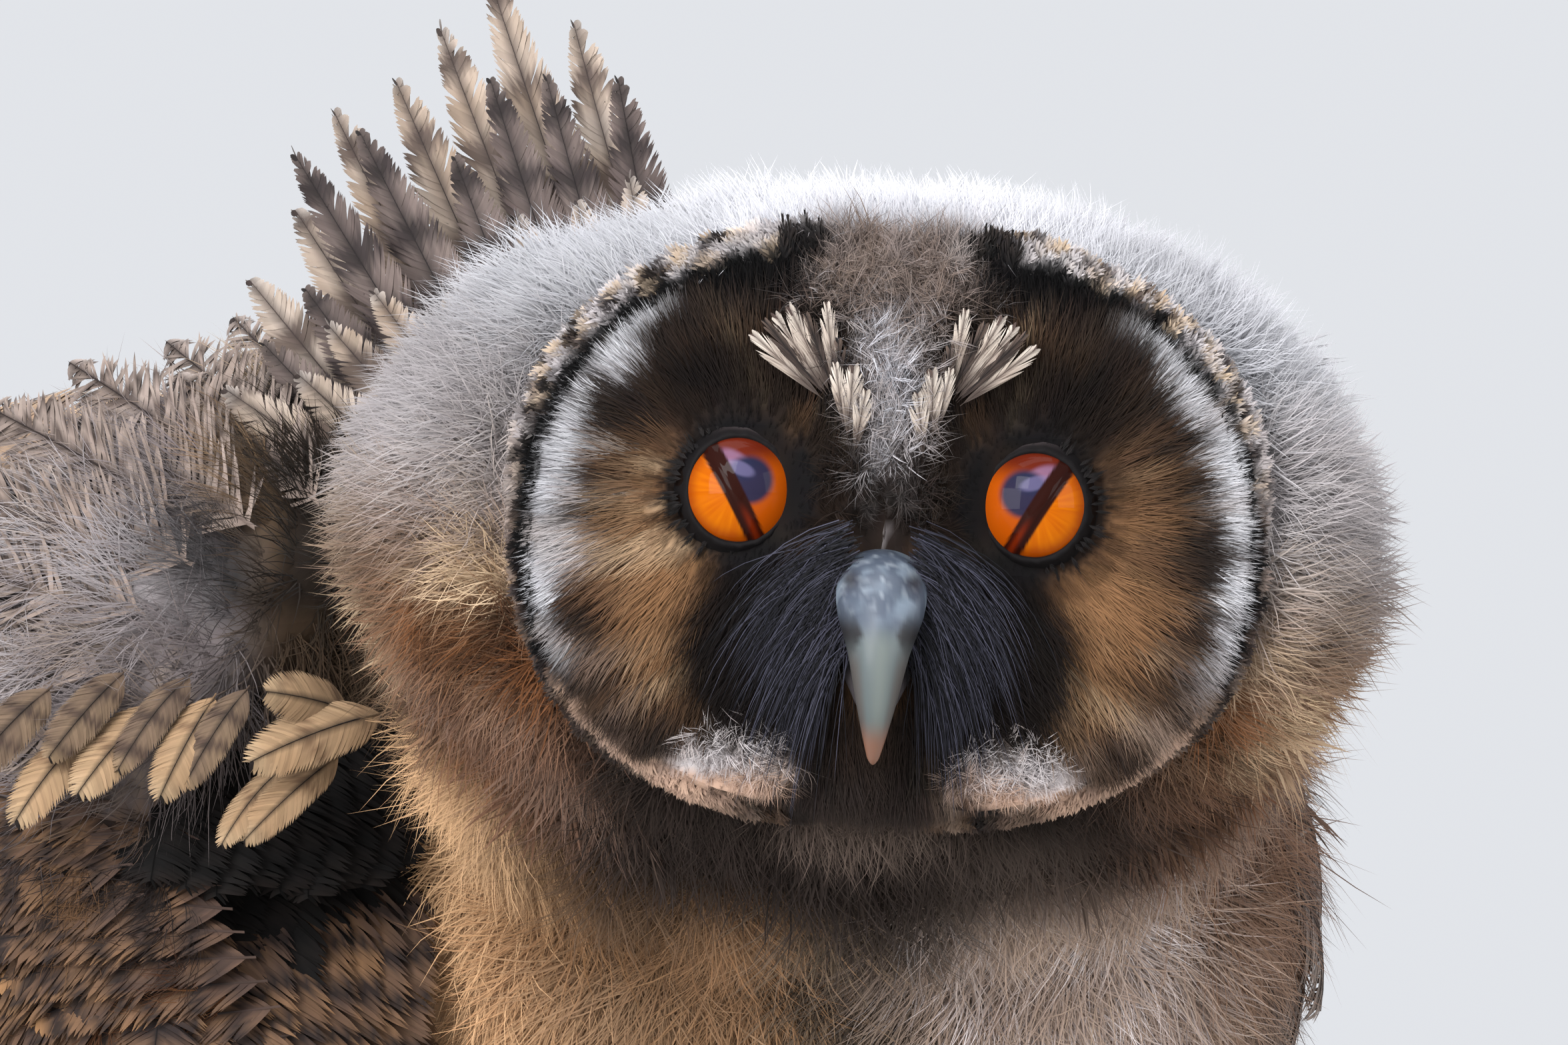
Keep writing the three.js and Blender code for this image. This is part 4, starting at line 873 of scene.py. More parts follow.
def body_colour(points, patches, flecks, bars):
    """Linear colours of the trunk, the neck, the legs and the wings' down, from places in millimetres."""
    x, y, z = points.T
    body = Canvas(BUFF, len(x))
    lay = body.lay

    # back and belly
    under = step(behind(y, z), 20, -30)
    under = np.maximum(under, step(z, 128, 106) * step(y, 46, 26))
    lay(GREY_BROWN, 1 - under)
    lay(ASH, (1 - under) * 0.6 * step(bars, 0.0, 0.8))
    lay(PALE_GREY, (1 - under) * 0.5 * step(-bars, 0.4, 1))
    lay(GREY_BROWN, under * 0.5 * step(bars, 0.1, 0.9) * step(z, 90, 140))

    # breast, with its dark streak
    breast = under * step(z, 118, 146) * step(y, 10, -20)
    lay(BREAST_BUFF, breast * step(x, -26, -40))
    lay(HONEY, breast * step(x + 5 * patches, -46, -34) * step(x, 0, -10) * (0.8 + 0.6 * patches))
    lay(UMBER, breast * bump(x + 26 + 8 * patches, 7) * step(z, 150, 168) * 0.8)
    lay(GREY_BROWN, breast * step(x, -4, 8) * (0.9 + 0.4 * flecks))
    lay(PALE_GREY, breast * step(x, 0, 10) * step(flecks, 0.12, 0.45) * 0.75)
    # painted light: the breast is made lighter where the head above shades it
    body.light(1 + breast * (0.5 + 0.6 * step(np.abs(x + 22), 10, 20)))
    lay(DARK, breast * bump(x - 1 + 3 * patches, 8.5) * 0.95)

    # throat and the sides of the neck
    throat = step(z, 162, 174) * (1 - 0.5 * step(x, 2, 14)) * step(y, -30, -55) * step(np.abs(x + 2), 50, 34)
    lay(DARK, throat * (0.7 + 0.6 * flecks))
    lay(MAUVE, throat * step(flecks, 0.1, 0.5) * step(patches, 0.2, -0.2) * 0.4)
    sides = step(np.abs(x), 36, 50) * step(z, 140, 165) * step(y, 20, -10) * step(x, -60, 30)
    lay(RUST, sides * (0.6 + 0.8 * patches))
    lay(DARK, sides * 0.8 * step(flecks, 0.1, 0.4))
    lay(SAND, step(z, 112, 96) * step(y, 60, 30) * 0.8)

    # right wing
    wing = step(x + 0.25 * (z - 170), -58, -66)
    lay(MAUVE, wing)
    lay(PALE_GREY, wing * step(patches, 0.1, 0.5) * step(z, 180, 205) * 0.8)
    lay(BUFF, wing * step(flecks, 0.15, 0.5) * 0.4)
    low_wing = wing * step(z, 184, 172)
    lay(DARK, low_wing * (0.95 - 0.6 * step(y, 0, 14)))
    lay(HONEY, low_wing * step(flecks, 0.2, 0.45) * 0.7)
    lay(BUFF, low_wing * step(y, 0, 14) * step(-bars, 0.2, 0.9) * 0.5)
    lay(RUST, low_wing * bump(z - 154, 5) * bump(x + 80, 16) * 0.8)
    # painted shadow: black patches on the wing beside the neck where the head shades it, and dark in the
    # hollow between the right wing and the neck
    ahead = step(y, 8, -8)
    neck_shadow = ahead * wing * step(x, -86, -74) * step(z, 198, 208) * step(z, 244, 232)
    lay(BLACK, neck_shadow * step(patches, -0.25, 0.1) * 0.92)
    hollow_shadow = ahead * step(x, -40, -48) * step(x, -78, -66) * step(z, 184, 194)
    lay(DARK, hollow_shadow * 0.9)
    lay(BLACK, hollow_shadow * step(z, 198, 206) * 0.8)
    return body.colours


def coat_colour(points):
    """Linear colours of places in millimetres."""
    places = to_head(points)
    x, y, z = places.T
    patches = cloud(points, 16, 41)
    flecks = cloud(points * np.array([1, 1, 0.45]), 3.2, 43)
    bars = np.sin((points[:, 2] - 0.5 * points[:, 1]) * 1.15 + 2.2 * noise(points, 12, 45))
    head = head_colour(places, patches, flecks, bars, cloud(points, 9, 47))
    body = body_colour(points, patches, flecks, bars)
    ellipsoid = np.hypot(x / 64, np.where(z > 0, z / 53, z / 47))
    on_head = step(np.hypot(ellipsoid, np.maximum(y, -20) / 60), 1.12, 0.98)
    colours = body + on_head[:, None] * (head - body)
    share = rim_share(x, z)
    facing = step(y, -16, -25) * step(share - ruff_limit(x, z), 0.0, -0.02)
    return colours + facing[:, None] * (face_colour(places) - colours)


def colour_mesh(mesh, colours, name="coat"):
    """Stores linear colours on the mesh's points."""
    layer = mesh.color_attributes.new(name, "BYTE_COLOR", "POINT")
    values = np.ones((len(colours), 4), np.float32)
    values[:, :3] = np.clip(colours, 0, 1)
    layer.data.foreach_set("color", values.ravel())


def paint_by(name, layer, roughness, **sockets):
    """A material whose colour is the mesh's own colour layer."""
    material = paint(name, roughness=roughness, **sockets)
    nodes, links = material.node_tree.nodes, material.node_tree.links
    reader = nodes.new("ShaderNodeAttribute")
    reader.attribute_name = layer
    links.new(reader.outputs["Color"], nodes["Principled BSDF"].inputs["Base Color"])
    return material


def stained_piece(name, points, faces, colours, material, slot, *nodes):
    """A piece whose points store their own colours."""
    piece = mesh_piece(name, points, faces)
    colour_mesh(piece.data, colours, "stain")
    piece.data.materials.append(material)
    finish_piece(piece, slot, *nodes)


coat_paint = paint_by("down", "coat", 0.85, Specular_IOR_Level=0.06, Sheen_Weight=0.05)
skin_paint = paint_by("skin", "coat", 0.9, Specular_IOR_Level=0.1)
skin_colours = coat_colour(outer)
skin_shade = 0.4 + 0.2 * np.maximum(on_disc, ruff_band) + 0.4 * skin_colours.mean(1)
colour_mesh(skin.data, skin_colours * skin_shade[:, None])
skin.data.materials.append(skin_paint)
bpy.context.view_layer.objects.active = skin
skin.select_set(True)
bpy.ops.object.mode_set(mode="EDIT")
bpy.ops.mesh.select_all(action="SELECT")
bpy.ops.uv.smart_project(angle_limit=math.radians(66), island_margin=0.002)
bpy.ops.object.mode_set(mode="OBJECT")
skin.data.uv_layers[0].name = "OFBake"
skin.select_set(False)
print("skin unwrapped:", skin.data.uv_layers[0].name)

# %% [markdown]
# A tuft is a handful of thin tapered blades that spring from one root. Each blade is five triangles, so
# that hundreds of thousands of them stay cheap. A tuft is one unit long, lies along +Y and rises
# towards +Z, and a few variants of each kind are kept in a collection from which the scatter picks.
# Every point of a tuft stores how far out on its blade it is, which blade it is on, and its place on
# the tuft's patch of the map.

# %% Model the tufts
BLADE_ROWS = (
    # how far out on the blade, and the share of its width there
    (0.0, 1.0), (0.38, 0.95), (0.72, 0.6), (1.0, 0),
)


def unit_object(name, points, faces, **layers):
    """A small object of unit length whose points store the layers."""
    mesh = bpy.data.meshes.new(name)
    mesh.from_pydata([tuple(point) for point in points], [], faces)
    mesh.shade_smooth()
    for layer, values in layers.items():
        put_layer(mesh, layer, np.array(values, float))
    return bpy.data.objects.new(name, mesh)


def shelf_of(kind, group, make, seed, **form):
    """A collection with a few variants of one kind."""
    rng = np.random.default_rng(seed)
    shelf = bpy.data.collections.new(f"{kind}_{group}")
    for i in range(4):
        shelf.objects.link(make(f"{kind}_{i}", rng, **form))
    return shelf


def tuft(name, rng, blades, width, spread, curl, rise):
    """spread is how far the blades turn apart, curl how far each bends and rise how high it arches."""
    points, faces, along, blade_of, patch = [], [], [], [], []
    for blade in range(blades):
        yaw = rng.normal(0, spread)
        reach = rng.uniform(0.7, 1.0)
        lifted = rise * rng.uniform(0.5, 1.5)
        sway = rng.normal(0, curl)
        root = np.array([rng.uniform(-0.09, 0.09), rng.uniform(-0.09, 0.09), 0])
        across = np.array([math.cos(yaw), -math.sin(yaw), 0])
        side = across + (0, 0, rng.uniform(-0.5, 0.5))
        way = np.array([math.sin(yaw), math.cos(yaw), 0])
        a = len(points)
        for share, broad in BLADE_ROWS:
            height = lifted * (share - 0.75 * share**2)
            middle = root + reach * (share * way + sway * share**2 * across) + np.array([0, 0, height])
            half = width * broad / 2
            row = [middle - half * side, middle + half * side] if broad else [middle]
            points += row
            along += [share] * len(row)
        blade_of += [blade] * (len(points) - a)
        faces += [(a, a + 1, a + 3, a + 2), (a + 2, a + 3, a + 5, a + 4), (a + 4, a + 5, a + 6)]
        patch += [((blade + 0.15 + 0.7 * (i % 2)) / blades, along[a + i], 0) for i in range(7)]
    return unit_object(name, points, faces, along=along, blade=blade_of, patch=patch)


TUFTS = {
    kind: shelf_of(kind, "tufts", tuft, seed, blades=blades, width=width, spread=spread, curl=curl, rise=rise)
    for kind, seed, blades, width, spread, curl, rise in (
        ("bristly", 1, 6, 0.017, 0.16, 0.05, 0.12),
        ("woolly", 2, 6, 0.02, 0.6, 0.36, 0.34),
        ("soft", 5, 9, 0.013, 0.36, 0.3, 0.3),
        ("curled", 7, 16, 0.032, 1.1, 0.8, 0.55),
        ("speck", 6, 4, 0.2, 0.3, 0.1, 0.3),
        ("streak", 8, 9, 0.026, 0.12, 0.05, 0.1),
        ("broad", 4, 8, 0.045, 0.34, 0.14, 0.2),
    )
}
print("kinds of tuft:", ", ".join(TUFTS))

# %% [markdown]
# Geometry Nodes set the tufts. The tree scatters points over the skin where the region's share is above
# zero, turns a picked tuft so that it stands on the skin and leans along the lie, sizes it by the
# length stored there, and realizes the copies into one mesh. The skin's map comes along with each
# point, and the tuft's own patch of it, a few thousandths across, becomes the tuft's place on the map.

# %% Build the scatter of down
PATCH_SIZE = 0.003


class Tree:
    """A Geometry Nodes tree that is built one node at a time."""

    def __init__(self, name, inputs):
        self.group = bpy.data.node_groups.new(name, "GeometryNodeTree")
        face = self.group.interface
        face.new_socket("Geometry", in_out="INPUT", socket_type="NodeSocketGeometry")
        self.keys = {}
        for label, kind in inputs:
            self.keys[label] = face.new_socket(label, in_out="INPUT", socket_type=kind).identifier
        face.new_socket("Geometry", in_out="OUTPUT", socket_type="NodeSocketGeometry")
        self.given = self.group.nodes.new("NodeGroupInput").outputs

    def add(self, kind, inputs=(), output=0, **settings):
        """Adds a node and returns one of its outputs. inputs pairs a socket's name or number with a value."""
        node = self.group.nodes.new(kind)
        for setting, value in settings.items():
            setattr(node, setting, value)
        for key, value in dict(inputs).items():
            socket = node.inputs[key]
            if isinstance(value, bpy.types.NodeSocket):
                self.group.links.new(value, socket)
            else:
                socket.default_value = value
        return node.outputs[output]

    def read(self, layer, kind="FLOAT"):
        return self.add("GeometryNodeInputNamedAttribute", {"Name": layer}, data_type=kind)

    def store(self, geometry, layer, value, kind="FLOAT_VECTOR", domain="POINT"):
        inputs = {"Geometry": geometry, "Name": layer, "Value": value}
        return self.add("GeometryNodeStoreNamedAttribute", inputs, data_type=kind, domain=domain)

    def maths(self, operation, *values):
        return self.add("ShaderNodeMath", enumerate(values), operation=operation)

    def vector(self, operation, *values, **scale):
        return self.add("ShaderNodeVectorMath", {**dict(enumerate(values)), **scale}, operation=operation)

    def facing(self, first, second, first_axis, second_axis):
        """A rotation that turns one axis to the first way and another as near as it can to the second."""
        ways = {"Primary Axis": first, "Secondary Axis": second}
        kind = "FunctionNodeAxesToRotation"
        return self.add(kind, ways, primary_axis=first_axis, secondary_axis=second_axis)

    def copies(self, points, shelf, **placing):
        """Real copies of the shelf's objects on the points."""
        kept = {"Collection": shelf, "Separate Children": True, "Reset Children": True}
        picked = self.add("GeometryNodeCollectionInfo", kept)
        placing = {"Points": points, "Instance": picked, "Pick Instance": True, **placing}
        made = self.add("GeometryNodeInstanceOnPoints", placing)
        return self.add("GeometryNodeRealizeInstances", {"Geometry": made})

    def random(self, low, high, seed):
        inputs = {2: low, 3: high, "Seed": seed}
        return self.add("FunctionNodeRandomValue", inputs, output=1, data_type="FLOAT")

    def finish(self, geometry, material):
        made = self.add("GeometryNodeSetMaterial", {"Geometry": geometry, "Material": material})
        out = self.group.nodes.new("NodeGroupOutput")
        self.group.links.new(made, out.inputs[0])

    def grow(self, piece, **values):
        """Runs the tree on the piece and keeps the result as its plain mesh."""
        modifier = piece.modifiers.new(self.group.name, "NODES")
        modifier.node_group = self.group
        for label, value in values.items():
            modifier[self.keys[label.replace("_", " ")]] = value
        piece.update_tag()
        return baked_down(piece)


def scatter_tree():
    """The tree that grows tufts on the skin."""
    tree = Tree("set_down", [
        ("Tufts", "NodeSocketCollection"),
        ("Crowd", "NodeSocketFloat"),
        ("Yaw", "NodeSocketFloat"),
        ("Seed", "NodeSocketInt"),
        ("Material", "NodeSocketMaterial"),
    ])
    crowd = tree.maths("MULTIPLY", tree.given["Crowd"], tree.read("crowd"))
    scatter = tree.group.nodes.new("GeometryNodeDistributePointsOnFaces")
    scatter.distribute_method = "RANDOM"
    tree.group.links.new(tree.given["Geometry"], scatter.inputs["Mesh"])
    tree.group.links.new(crowd, scatter.inputs["Density"])
    tree.group.links.new(tree.given["Seed"], scatter.inputs["Seed"])
    points = tree.store(scatter.outputs["Points"], "root", tree.add("GeometryNodeInputPosition"))
    points = tree.store(points, "root_uv", tree.read("OFBake", "FLOAT_VECTOR"))
    stand = tree.facing(scatter.outputs["Normal"], tree.read("lie", "FLOAT_VECTOR"), "Z", "Y")
    tilt = tree.maths("MULTIPLY", tree.read("lift"), tree.random(0.7, 1.3, 11))
    yaw = tree.maths("MULTIPLY", tree.given["Yaw"], tree.random(-1.0, 1.0, 12))
    lean = tree.add("ShaderNodeCombineXYZ", {"X": tilt, "Z": yaw})
    lean = tree.add("FunctionNodeEulerToRotation", {0: lean})
    turned = tree.add("FunctionNodeRotateRotation", {0: stand, 1: lean}, rotation_space="LOCAL")
    size = tree.maths("MULTIPLY", tree.read("length"), tree.random(0.78, 1.18, 13))
    real = tree.copies(points, tree.given["Tufts"], Rotation=turned, Scale=size)
    from_middle = tree.vector("SUBTRACT", tree.read("patch", "FLOAT_VECTOR"), (0.5, 0.5, 0))
    patch = tree.vector("SCALE", from_middle, Scale=PATCH_SIZE)
    spot = tree.vector("ADD", tree.read("root_uv", "FLOAT_VECTOR"), patch)
    mapped = tree.store(real, "OFBake", spot, "FLOAT2", "CORNER")
    tree.finish(mapped, tree.given["Material"])
    return tree


set_down = scatter_tree()
print("scatter of down:", len(set_down.group.nodes), "nodes")

# %% [markdown]
# Each coat piece is grown on a copy of the skin whose crowding is zero outside its own region. Its
# tufts are then coloured blade by blade: the marking is read on the outer surface, a little out from
# the root, so that the edges of the pattern are ragged as in real down. Each blade is painted darker
# at its root as painted shade, where the crowded blades shadow each other, and painted lighter at its
# tip as painted light, both less so where the down is pale, because light passes through it.

# %% Grow and colour the coat
ROOT_GRID = 50  # cells to the millimetre, so that each tuft has chances of its own


def leave_plain(mesh, material, *layers):
    """Takes the working layers off the mesh and leaves it in one material."""
    for layer in layers:
        if layer in mesh.attributes:
            mesh.attributes.remove(mesh.attributes[layer])
    mesh.materials.clear()
    mesh.materials.append(material)


def grow_coat(
    name, share, kind, slot, seed,
    yaw=0.35, root_shade=0.34, tip_light=1.12, uneven=0.16, read=0.7, longest=30, raised=0,
):
    """One piece of the coat. share is how much of the usual crowd each point of the skin has, yaw how far
    tufts turn from the lie, and read how far out on a blade its marking is read."""
    piece = bpy.data.objects.new(name, skin.data.copy())
    bpy.context.scene.collection.objects.link(piece)
    given = {
        "crowd": crowd * share,
        "length": np.minimum(length, longest) * MM,
        "lift": np.radians(lift + raised),
        "lie": lie,
        "drawn_in": outer - skin_points,
    }
    for layer, values in given.items():
        put_layer(piece.data, layer, values)
    mesh = set_down.grow(piece, Tufts=TUFTS[kind], Crowd=1 / MM**2, Yaw=yaw, Seed=seed, Material=coat_paint)
    along = layer_of(mesh, "along", 1, "value")
    starts = np.flatnonzero(along == 0)[::2]
    tips = np.flatnonzero(along == 1)
    blade_of = np.cumsum(np.isin(np.arange(len(along)), starts)) - 1
    roots = layer_of(mesh, "root", 3, "vector")[starts] / MM
    drawn_in = layer_of(mesh, "drawn_in", 3, "vector")[starts]
    above = unit(drawn_in)
    reach = positions(mesh)[tips] - roots
    reach = reach - np.sum(reach * above, 1, keepdims=True) * above
    root_cells = np.floor(roots * ROOT_GRID)
    chance = lattice(root_cells + layer_of(mesh, "blade", 1, "value")[starts][:, None], 77)
    tuft_chance = lattice(root_cells, 78)
    shade = 1 + uneven * (chance - 0.5) * 2 + 0.6 * uneven * (tuft_chance - 0.5) * 2
    colours = coat_colour(roots + drawn_in + read * reach) * shade[:, None]
    # painted shade at the blade's root and painted light at its tip
    along_shade = np.interp(along, [0, 0.45, 1], [root_shade, 0.92, tip_light])
    pale = np.clip(colours[blade_of].mean(1), 0, 1)
    colour_mesh(mesh, colours[blade_of] * (along_shade ** (1 - 0.75 * pale))[:, None])
    leave_plain(mesh, coat_paint, "along", "root", "blade", "patch", "root_uv", *given)
    finish_piece(piece, slot)
    triangles = sum(len(face.vertices) - 2 for face in mesh.polygons)
    print("  ", len(starts), "blades", triangles, "triangles")


FLESH = ("head", "neck", "torso", "thigh_right", "thigh_left", "foot_right", "foot_left")
finish_piece(skin, "down", *FLESH)

# %% [markdown]
# The coat's pieces meet along soft edges. The ruff is made of specks, the crescents of straight
# streaks, and the curls stand up on the forehead's wedge and the pale patches. The breast is grown
# denser where the picture looks at it, and coarser tufts cover the nape, the back and the legs.

# %% Divide the coat
def sum_of(*parts):
    return sum(weight_of[part] for part in parts)


left_half = step(face_x, -0.5, 0.5)
curled = curled_share * off_bill
face_share = on_disc * (from_eye > 6.9) * (1 - ruff_band) * off_bill * (1 - 0.75 * curled)
rim_turn = np.degrees(np.arctan2(face_z - RIM_HEIGHT, np.abs(face_x - RIM_SIDE)))
crescent_zone = on_disc * step(rim, 0.75, 0.79) * step(rim, 0.94, 0.92)
crescent_zone = crescent_zone * step(rim_turn, -19, -10) * step(rim_turn, 47, 42)
curls_zone = step(curled, 0.1, 0.9) * 0.5 * np.where(on_disc > 0.5, 1, 2)
crown_share = step(weight_of["head"], 0.35, 0.6) * (1 - on_disc) * (1 - ruff_band)
crown_front = step(face_y, 4, -8)
crown_front_share = crown_share * crown_front * (1 - 0.85 * curled)
neck_share = weight_of["neck"] * (1 - crown_share)
trunk_share = weight_of["torso"] * (1 - crown_share)
chest = step(outer[:, 1], 0, -20)
in_view = step(outer[:, 2], 138, 146) * chest
hind = step(behind(outer[:, 1], outer[:, 2]), -10, 10)
leg_share = sum_of("thigh_right", "thigh_left", "foot_right", "foot_left")
right_share = step(sum_of("shoulder", "right_arm", "right_hand"), 0.2, 0.5) * (1 - crown_share)
left_share = sum_of("left_arm", "left_hand", "tail")
FACE = dict(yaw=0.2)
RUFF = dict(root_shade=0.7, uneven=0.25, read=0.0, longest=1.9)
CRESCENT = dict(yaw=0.16, root_shade=0.35, tip_light=1.5, uneven=0.4, read=0.95, raised=-3)
CURLS = dict(yaw=3.0, root_shade=0.22, tip_light=1.25, uneven=0.3, read=0.3, longest=4.4, raised=34)
CROWN = dict(yaw=0.6, uneven=0.22)
for slot, name, share, kind, seed, settings in (
    ("face_and_crown", "face_right", face_share * (1 - left_half), "bristly", 11, FACE),
    ("face_and_crown", "face_left", face_share * left_half, "bristly", 12, FACE),
    ("face_and_crown", "ruff", step(ruff_band, 0.3, 0.6), "speck", 23, RUFF),
    ("face_and_crown", "crescent", crescent_zone * 0.5, "streak", 26, CRESCENT),
    ("face_and_crown", "curls", curls_zone, "curled", 25, CURLS),
    ("face_and_crown", "crown_right", crown_front_share * (1 - left_half), "woolly", 13, CROWN),
    ("face_and_crown", "crown_left", crown_front_share * left_half, "woolly", 14, CROWN),
    ("face_and_crown", "nape", crown_share * (1 - crown_front) * 0.3, "broad", 15, dict(root_shade=0.55)),
    ("down", "throat", neck_share * chest * 1.0, "soft", 16, dict(yaw=0.6, uneven=0.28)),
    ("down", "neck", neck_share * (1 - chest) * 0.4, "broad", 17, {}),
    ("down", "breast", trunk_share * in_view * 4, "soft", 24, dict(yaw=0.6, uneven=0.24)),
    ("down", "belly", trunk_share * (1 - hind) * (1 - in_view), "broad", 18, {}),
    ("down", "back", trunk_share * hind, "broad", 19, {}),
    ("down", "legs", leg_share, "broad", 20, {}),
    ("down", "wing_right", right_share * 0.7, "soft", 21, {}),
    ("down", "wing_left", left_share * 1.4, "soft", 22, {}),
):
    grow_coat("coat_" + name, share, kind, slot, seed, **settings)

# %% [markdown]
# A feather here is made the way a real one is: a shaft with a row of barbs on each side, each barb a
# thin tapered blade. The rows are close enough to shut into a vane on a flight feather, and loose and
# uneven on the downy ones. The unit feather is one long and one wide, and stores how far along and how
# far out each point is.

# %% Model the feathers
OUTLINES = {
    # half width along the feather, as shares of its full half width
    "flight": ([0, 0.06, 0.3, 0.8, 0.94, 1], [0.15, 0.5, 0.95, 0.95, 0.55, 0.05]),
    "covert": ([0, 0.1, 0.55, 0.85, 0.95, 1], [0.3, 0.7, 1, 0.8, 0.5, 0.08]),
    "plume": ([0, 0.1, 0.5, 0.8, 1], [0.4, 0.85, 1, 0.7, 0.12]),
    "oval": ([0, 0.1, 0.3, 0.65, 0.85, 0.95, 1], [0.35, 0.65, 0.92, 1, 0.8, 0.5, 0.1]),
    "blade": ([0, 0.1, 0.4, 0.75, 0.92, 1], [0.4, 0.8, 1, 0.72, 0.36, 0.02]),
    "lock": ([0, 0.3, 0.7, 1], [0.55, 1, 0.6, 0.05]),
    "wisp": ([0, 0.35, 0.75, 0.92, 1], [0.2, 0.6, 1, 0.8, 0.35]),
}


BARB_ROWS = (
    # how far out on the barb, and its half width as a share of the barbs' spacing
    (0, 0.75), (0.25, 0.9), (0.5, 0.9), (0.78, 0.7), (1, 0),
)


def feather(name, rng, outline, barbs, slant, loose):
    """slant is how far a barb reaches forward along the feather, loose how unevenly the barbs lie."""
    points, faces, along, out, strand, patch = [], [], [], [], [], []
    shares, widths = OUTLINES[outline]

    def strip(rows, number):
        start = len(points)
        for row in rows:
            for x, y, z in row:
                points.append((x, y, z))
                along.append(min(max(y, 0), 1))
                out.append(2 * x)
                strand.append(number)
                patch.append((x + 0.5, y, 0))
        sizes = [len(row) for row in rows]
        for size, after in zip(sizes, sizes[1:]):
            for j in range(size - 1):
                tail = (start + size + j,) if after == 1 else (start + size + j + 1, start + size + j)
                faces.append((start + j, start + j + 1, *tail))
            start += size

    pitch = 1 / barbs
    for side in (-1, 1):
        gap = rng.normal(0, 1, barbs + 6)
        sway = np.convolve(gap, np.ones(6) / 6, "same")[:barbs]
        for i in range(barbs):
            foot = pitch * (i + 0.5) * 0.97
            fuzz = loose * (1.5 - foot)
            forward = slant * (1 - foot**3) + 0.1 * fuzz * sway[i] + (0.003 + 0.08 * loose) * rng.normal()
            tip_y = min(foot + forward, 1.0 + 0.06 * loose * rng.normal())
            tip_x = side * 0.5 * np.interp(tip_y, shares, widths) * (1 + fuzz * rng.uniform(-0.35, 0.1))
            raised = (0.006 + 0.12 * fuzz) * rng.normal()
            rows = []
            for u, broad in BARB_ROWS:
                x = tip_x * u
                y = foot + (tip_y - foot) * (0.75 * u + 0.25 * u * u)
                z = 0.05 + raised * u - 0.1 * u * u
                half = broad * pitch * (1 - 0.45 * fuzz)
                rows.append([(x, y - half, z), (x, y + half, z)] if half else [(x, y, z)])
            strip(rows, 1 + i + side * barbs)
    shaft = []
    for share in np.linspace(-0.04, 0.97, 9):
        half = 0.016 * (1.15 - share)
        shaft.append([(-half, share, 0.045), (0, share, 0.075), (half, share, 0.045)])
    strip(shaft, 0)
    return unit_object(name, points, faces, along=along, out=out, strand=strand, patch=patch)


SHELVES = {
    kind: shelf_of(kind, "feathers", feather, seed, outline=kind, barbs=barbs, slant=slant, loose=loose)
    for kind, seed, barbs, slant, loose in (
        ("flight", 51, 120, 0.06, 0.035),
        ("covert", 52, 54, 0.16, 0.16),
        ("plume", 53, 64, 0.24, 0.4),
        ("blade", 56, 100, 0.12, 0.07),
        ("oval", 57, 56, 0.2, 0.03),
        ("lock", 54, 12, 0.4, 0.5),
        ("wisp", 58, 15, 0.45, 0.3),
    )
}
print("kinds of feather:", ", ".join(SHELVES))

# %% [markdown]
# Geometry Nodes set the feathers too. Each feather is one point that stores which way it aims, which
# way its upper side looks, its size, how it bends and its own cell of the map. The tree puts a picked
# feather there, realizes it, bends it and moves its map into the cell.

# %% Build the setting of feathers
MAP_CELLS = 28
CELL_FILL = 0.86


def feather_tree():
    """The tree that puts a feather on each point."""
    tree = Tree("set_feathers", [("Feathers", "NodeSocketCollection"), ("Material", "NodeSocketMaterial")])
    turned = tree.facing(tree.read("aim", "FLOAT_VECTOR"), tree.read("face", "FLOAT_VECTOR"), "Y", "Z")
    points = tree.add("GeometryNodeMeshToPoints", {"Mesh": tree.given["Geometry"]})
    picked = {"Instance Index": tree.read("pick", "INT")}
    size = tree.read("size", "FLOAT_VECTOR")
    real = tree.copies(points, tree.given["Feathers"], Rotation=turned, Scale=size, **picked)
    along = tree.read("along")
    arch = tree.maths("MULTIPLY", tree.maths("MULTIPLY", along, 4.0), tree.maths("SUBTRACT", 1.0, along))
    offset = tree.vector("SCALE", tree.read("bend", "FLOAT_VECTOR"), Scale=arch)
    bent = tree.add("GeometryNodeSetPosition", {"Geometry": real, "Offset": offset})
    patch = tree.vector("SCALE", tree.read("patch", "FLOAT_VECTOR"), Scale=CELL_FILL / MAP_CELLS)
    spot = tree.vector("ADD", tree.read("cell", "FLOAT_VECTOR"), patch)
    mapped = tree.store(bent, "OFBake", spot, "FLOAT2", "CORNER")
    tree.finish(mapped, tree.given["Material"])
    return tree


set_feathers = feather_tree()
print("setting of feathers:", len(set_feathers.group.nodes), "nodes")

# %% [markdown]
# A fan lays feathers between a line of roots and a line of tips. Neighbours overlap like roof tiles, so
# each lies a little above the last, more so at the tip than at the root. Tiers of coverts are fans
# whose lines run along a wing.

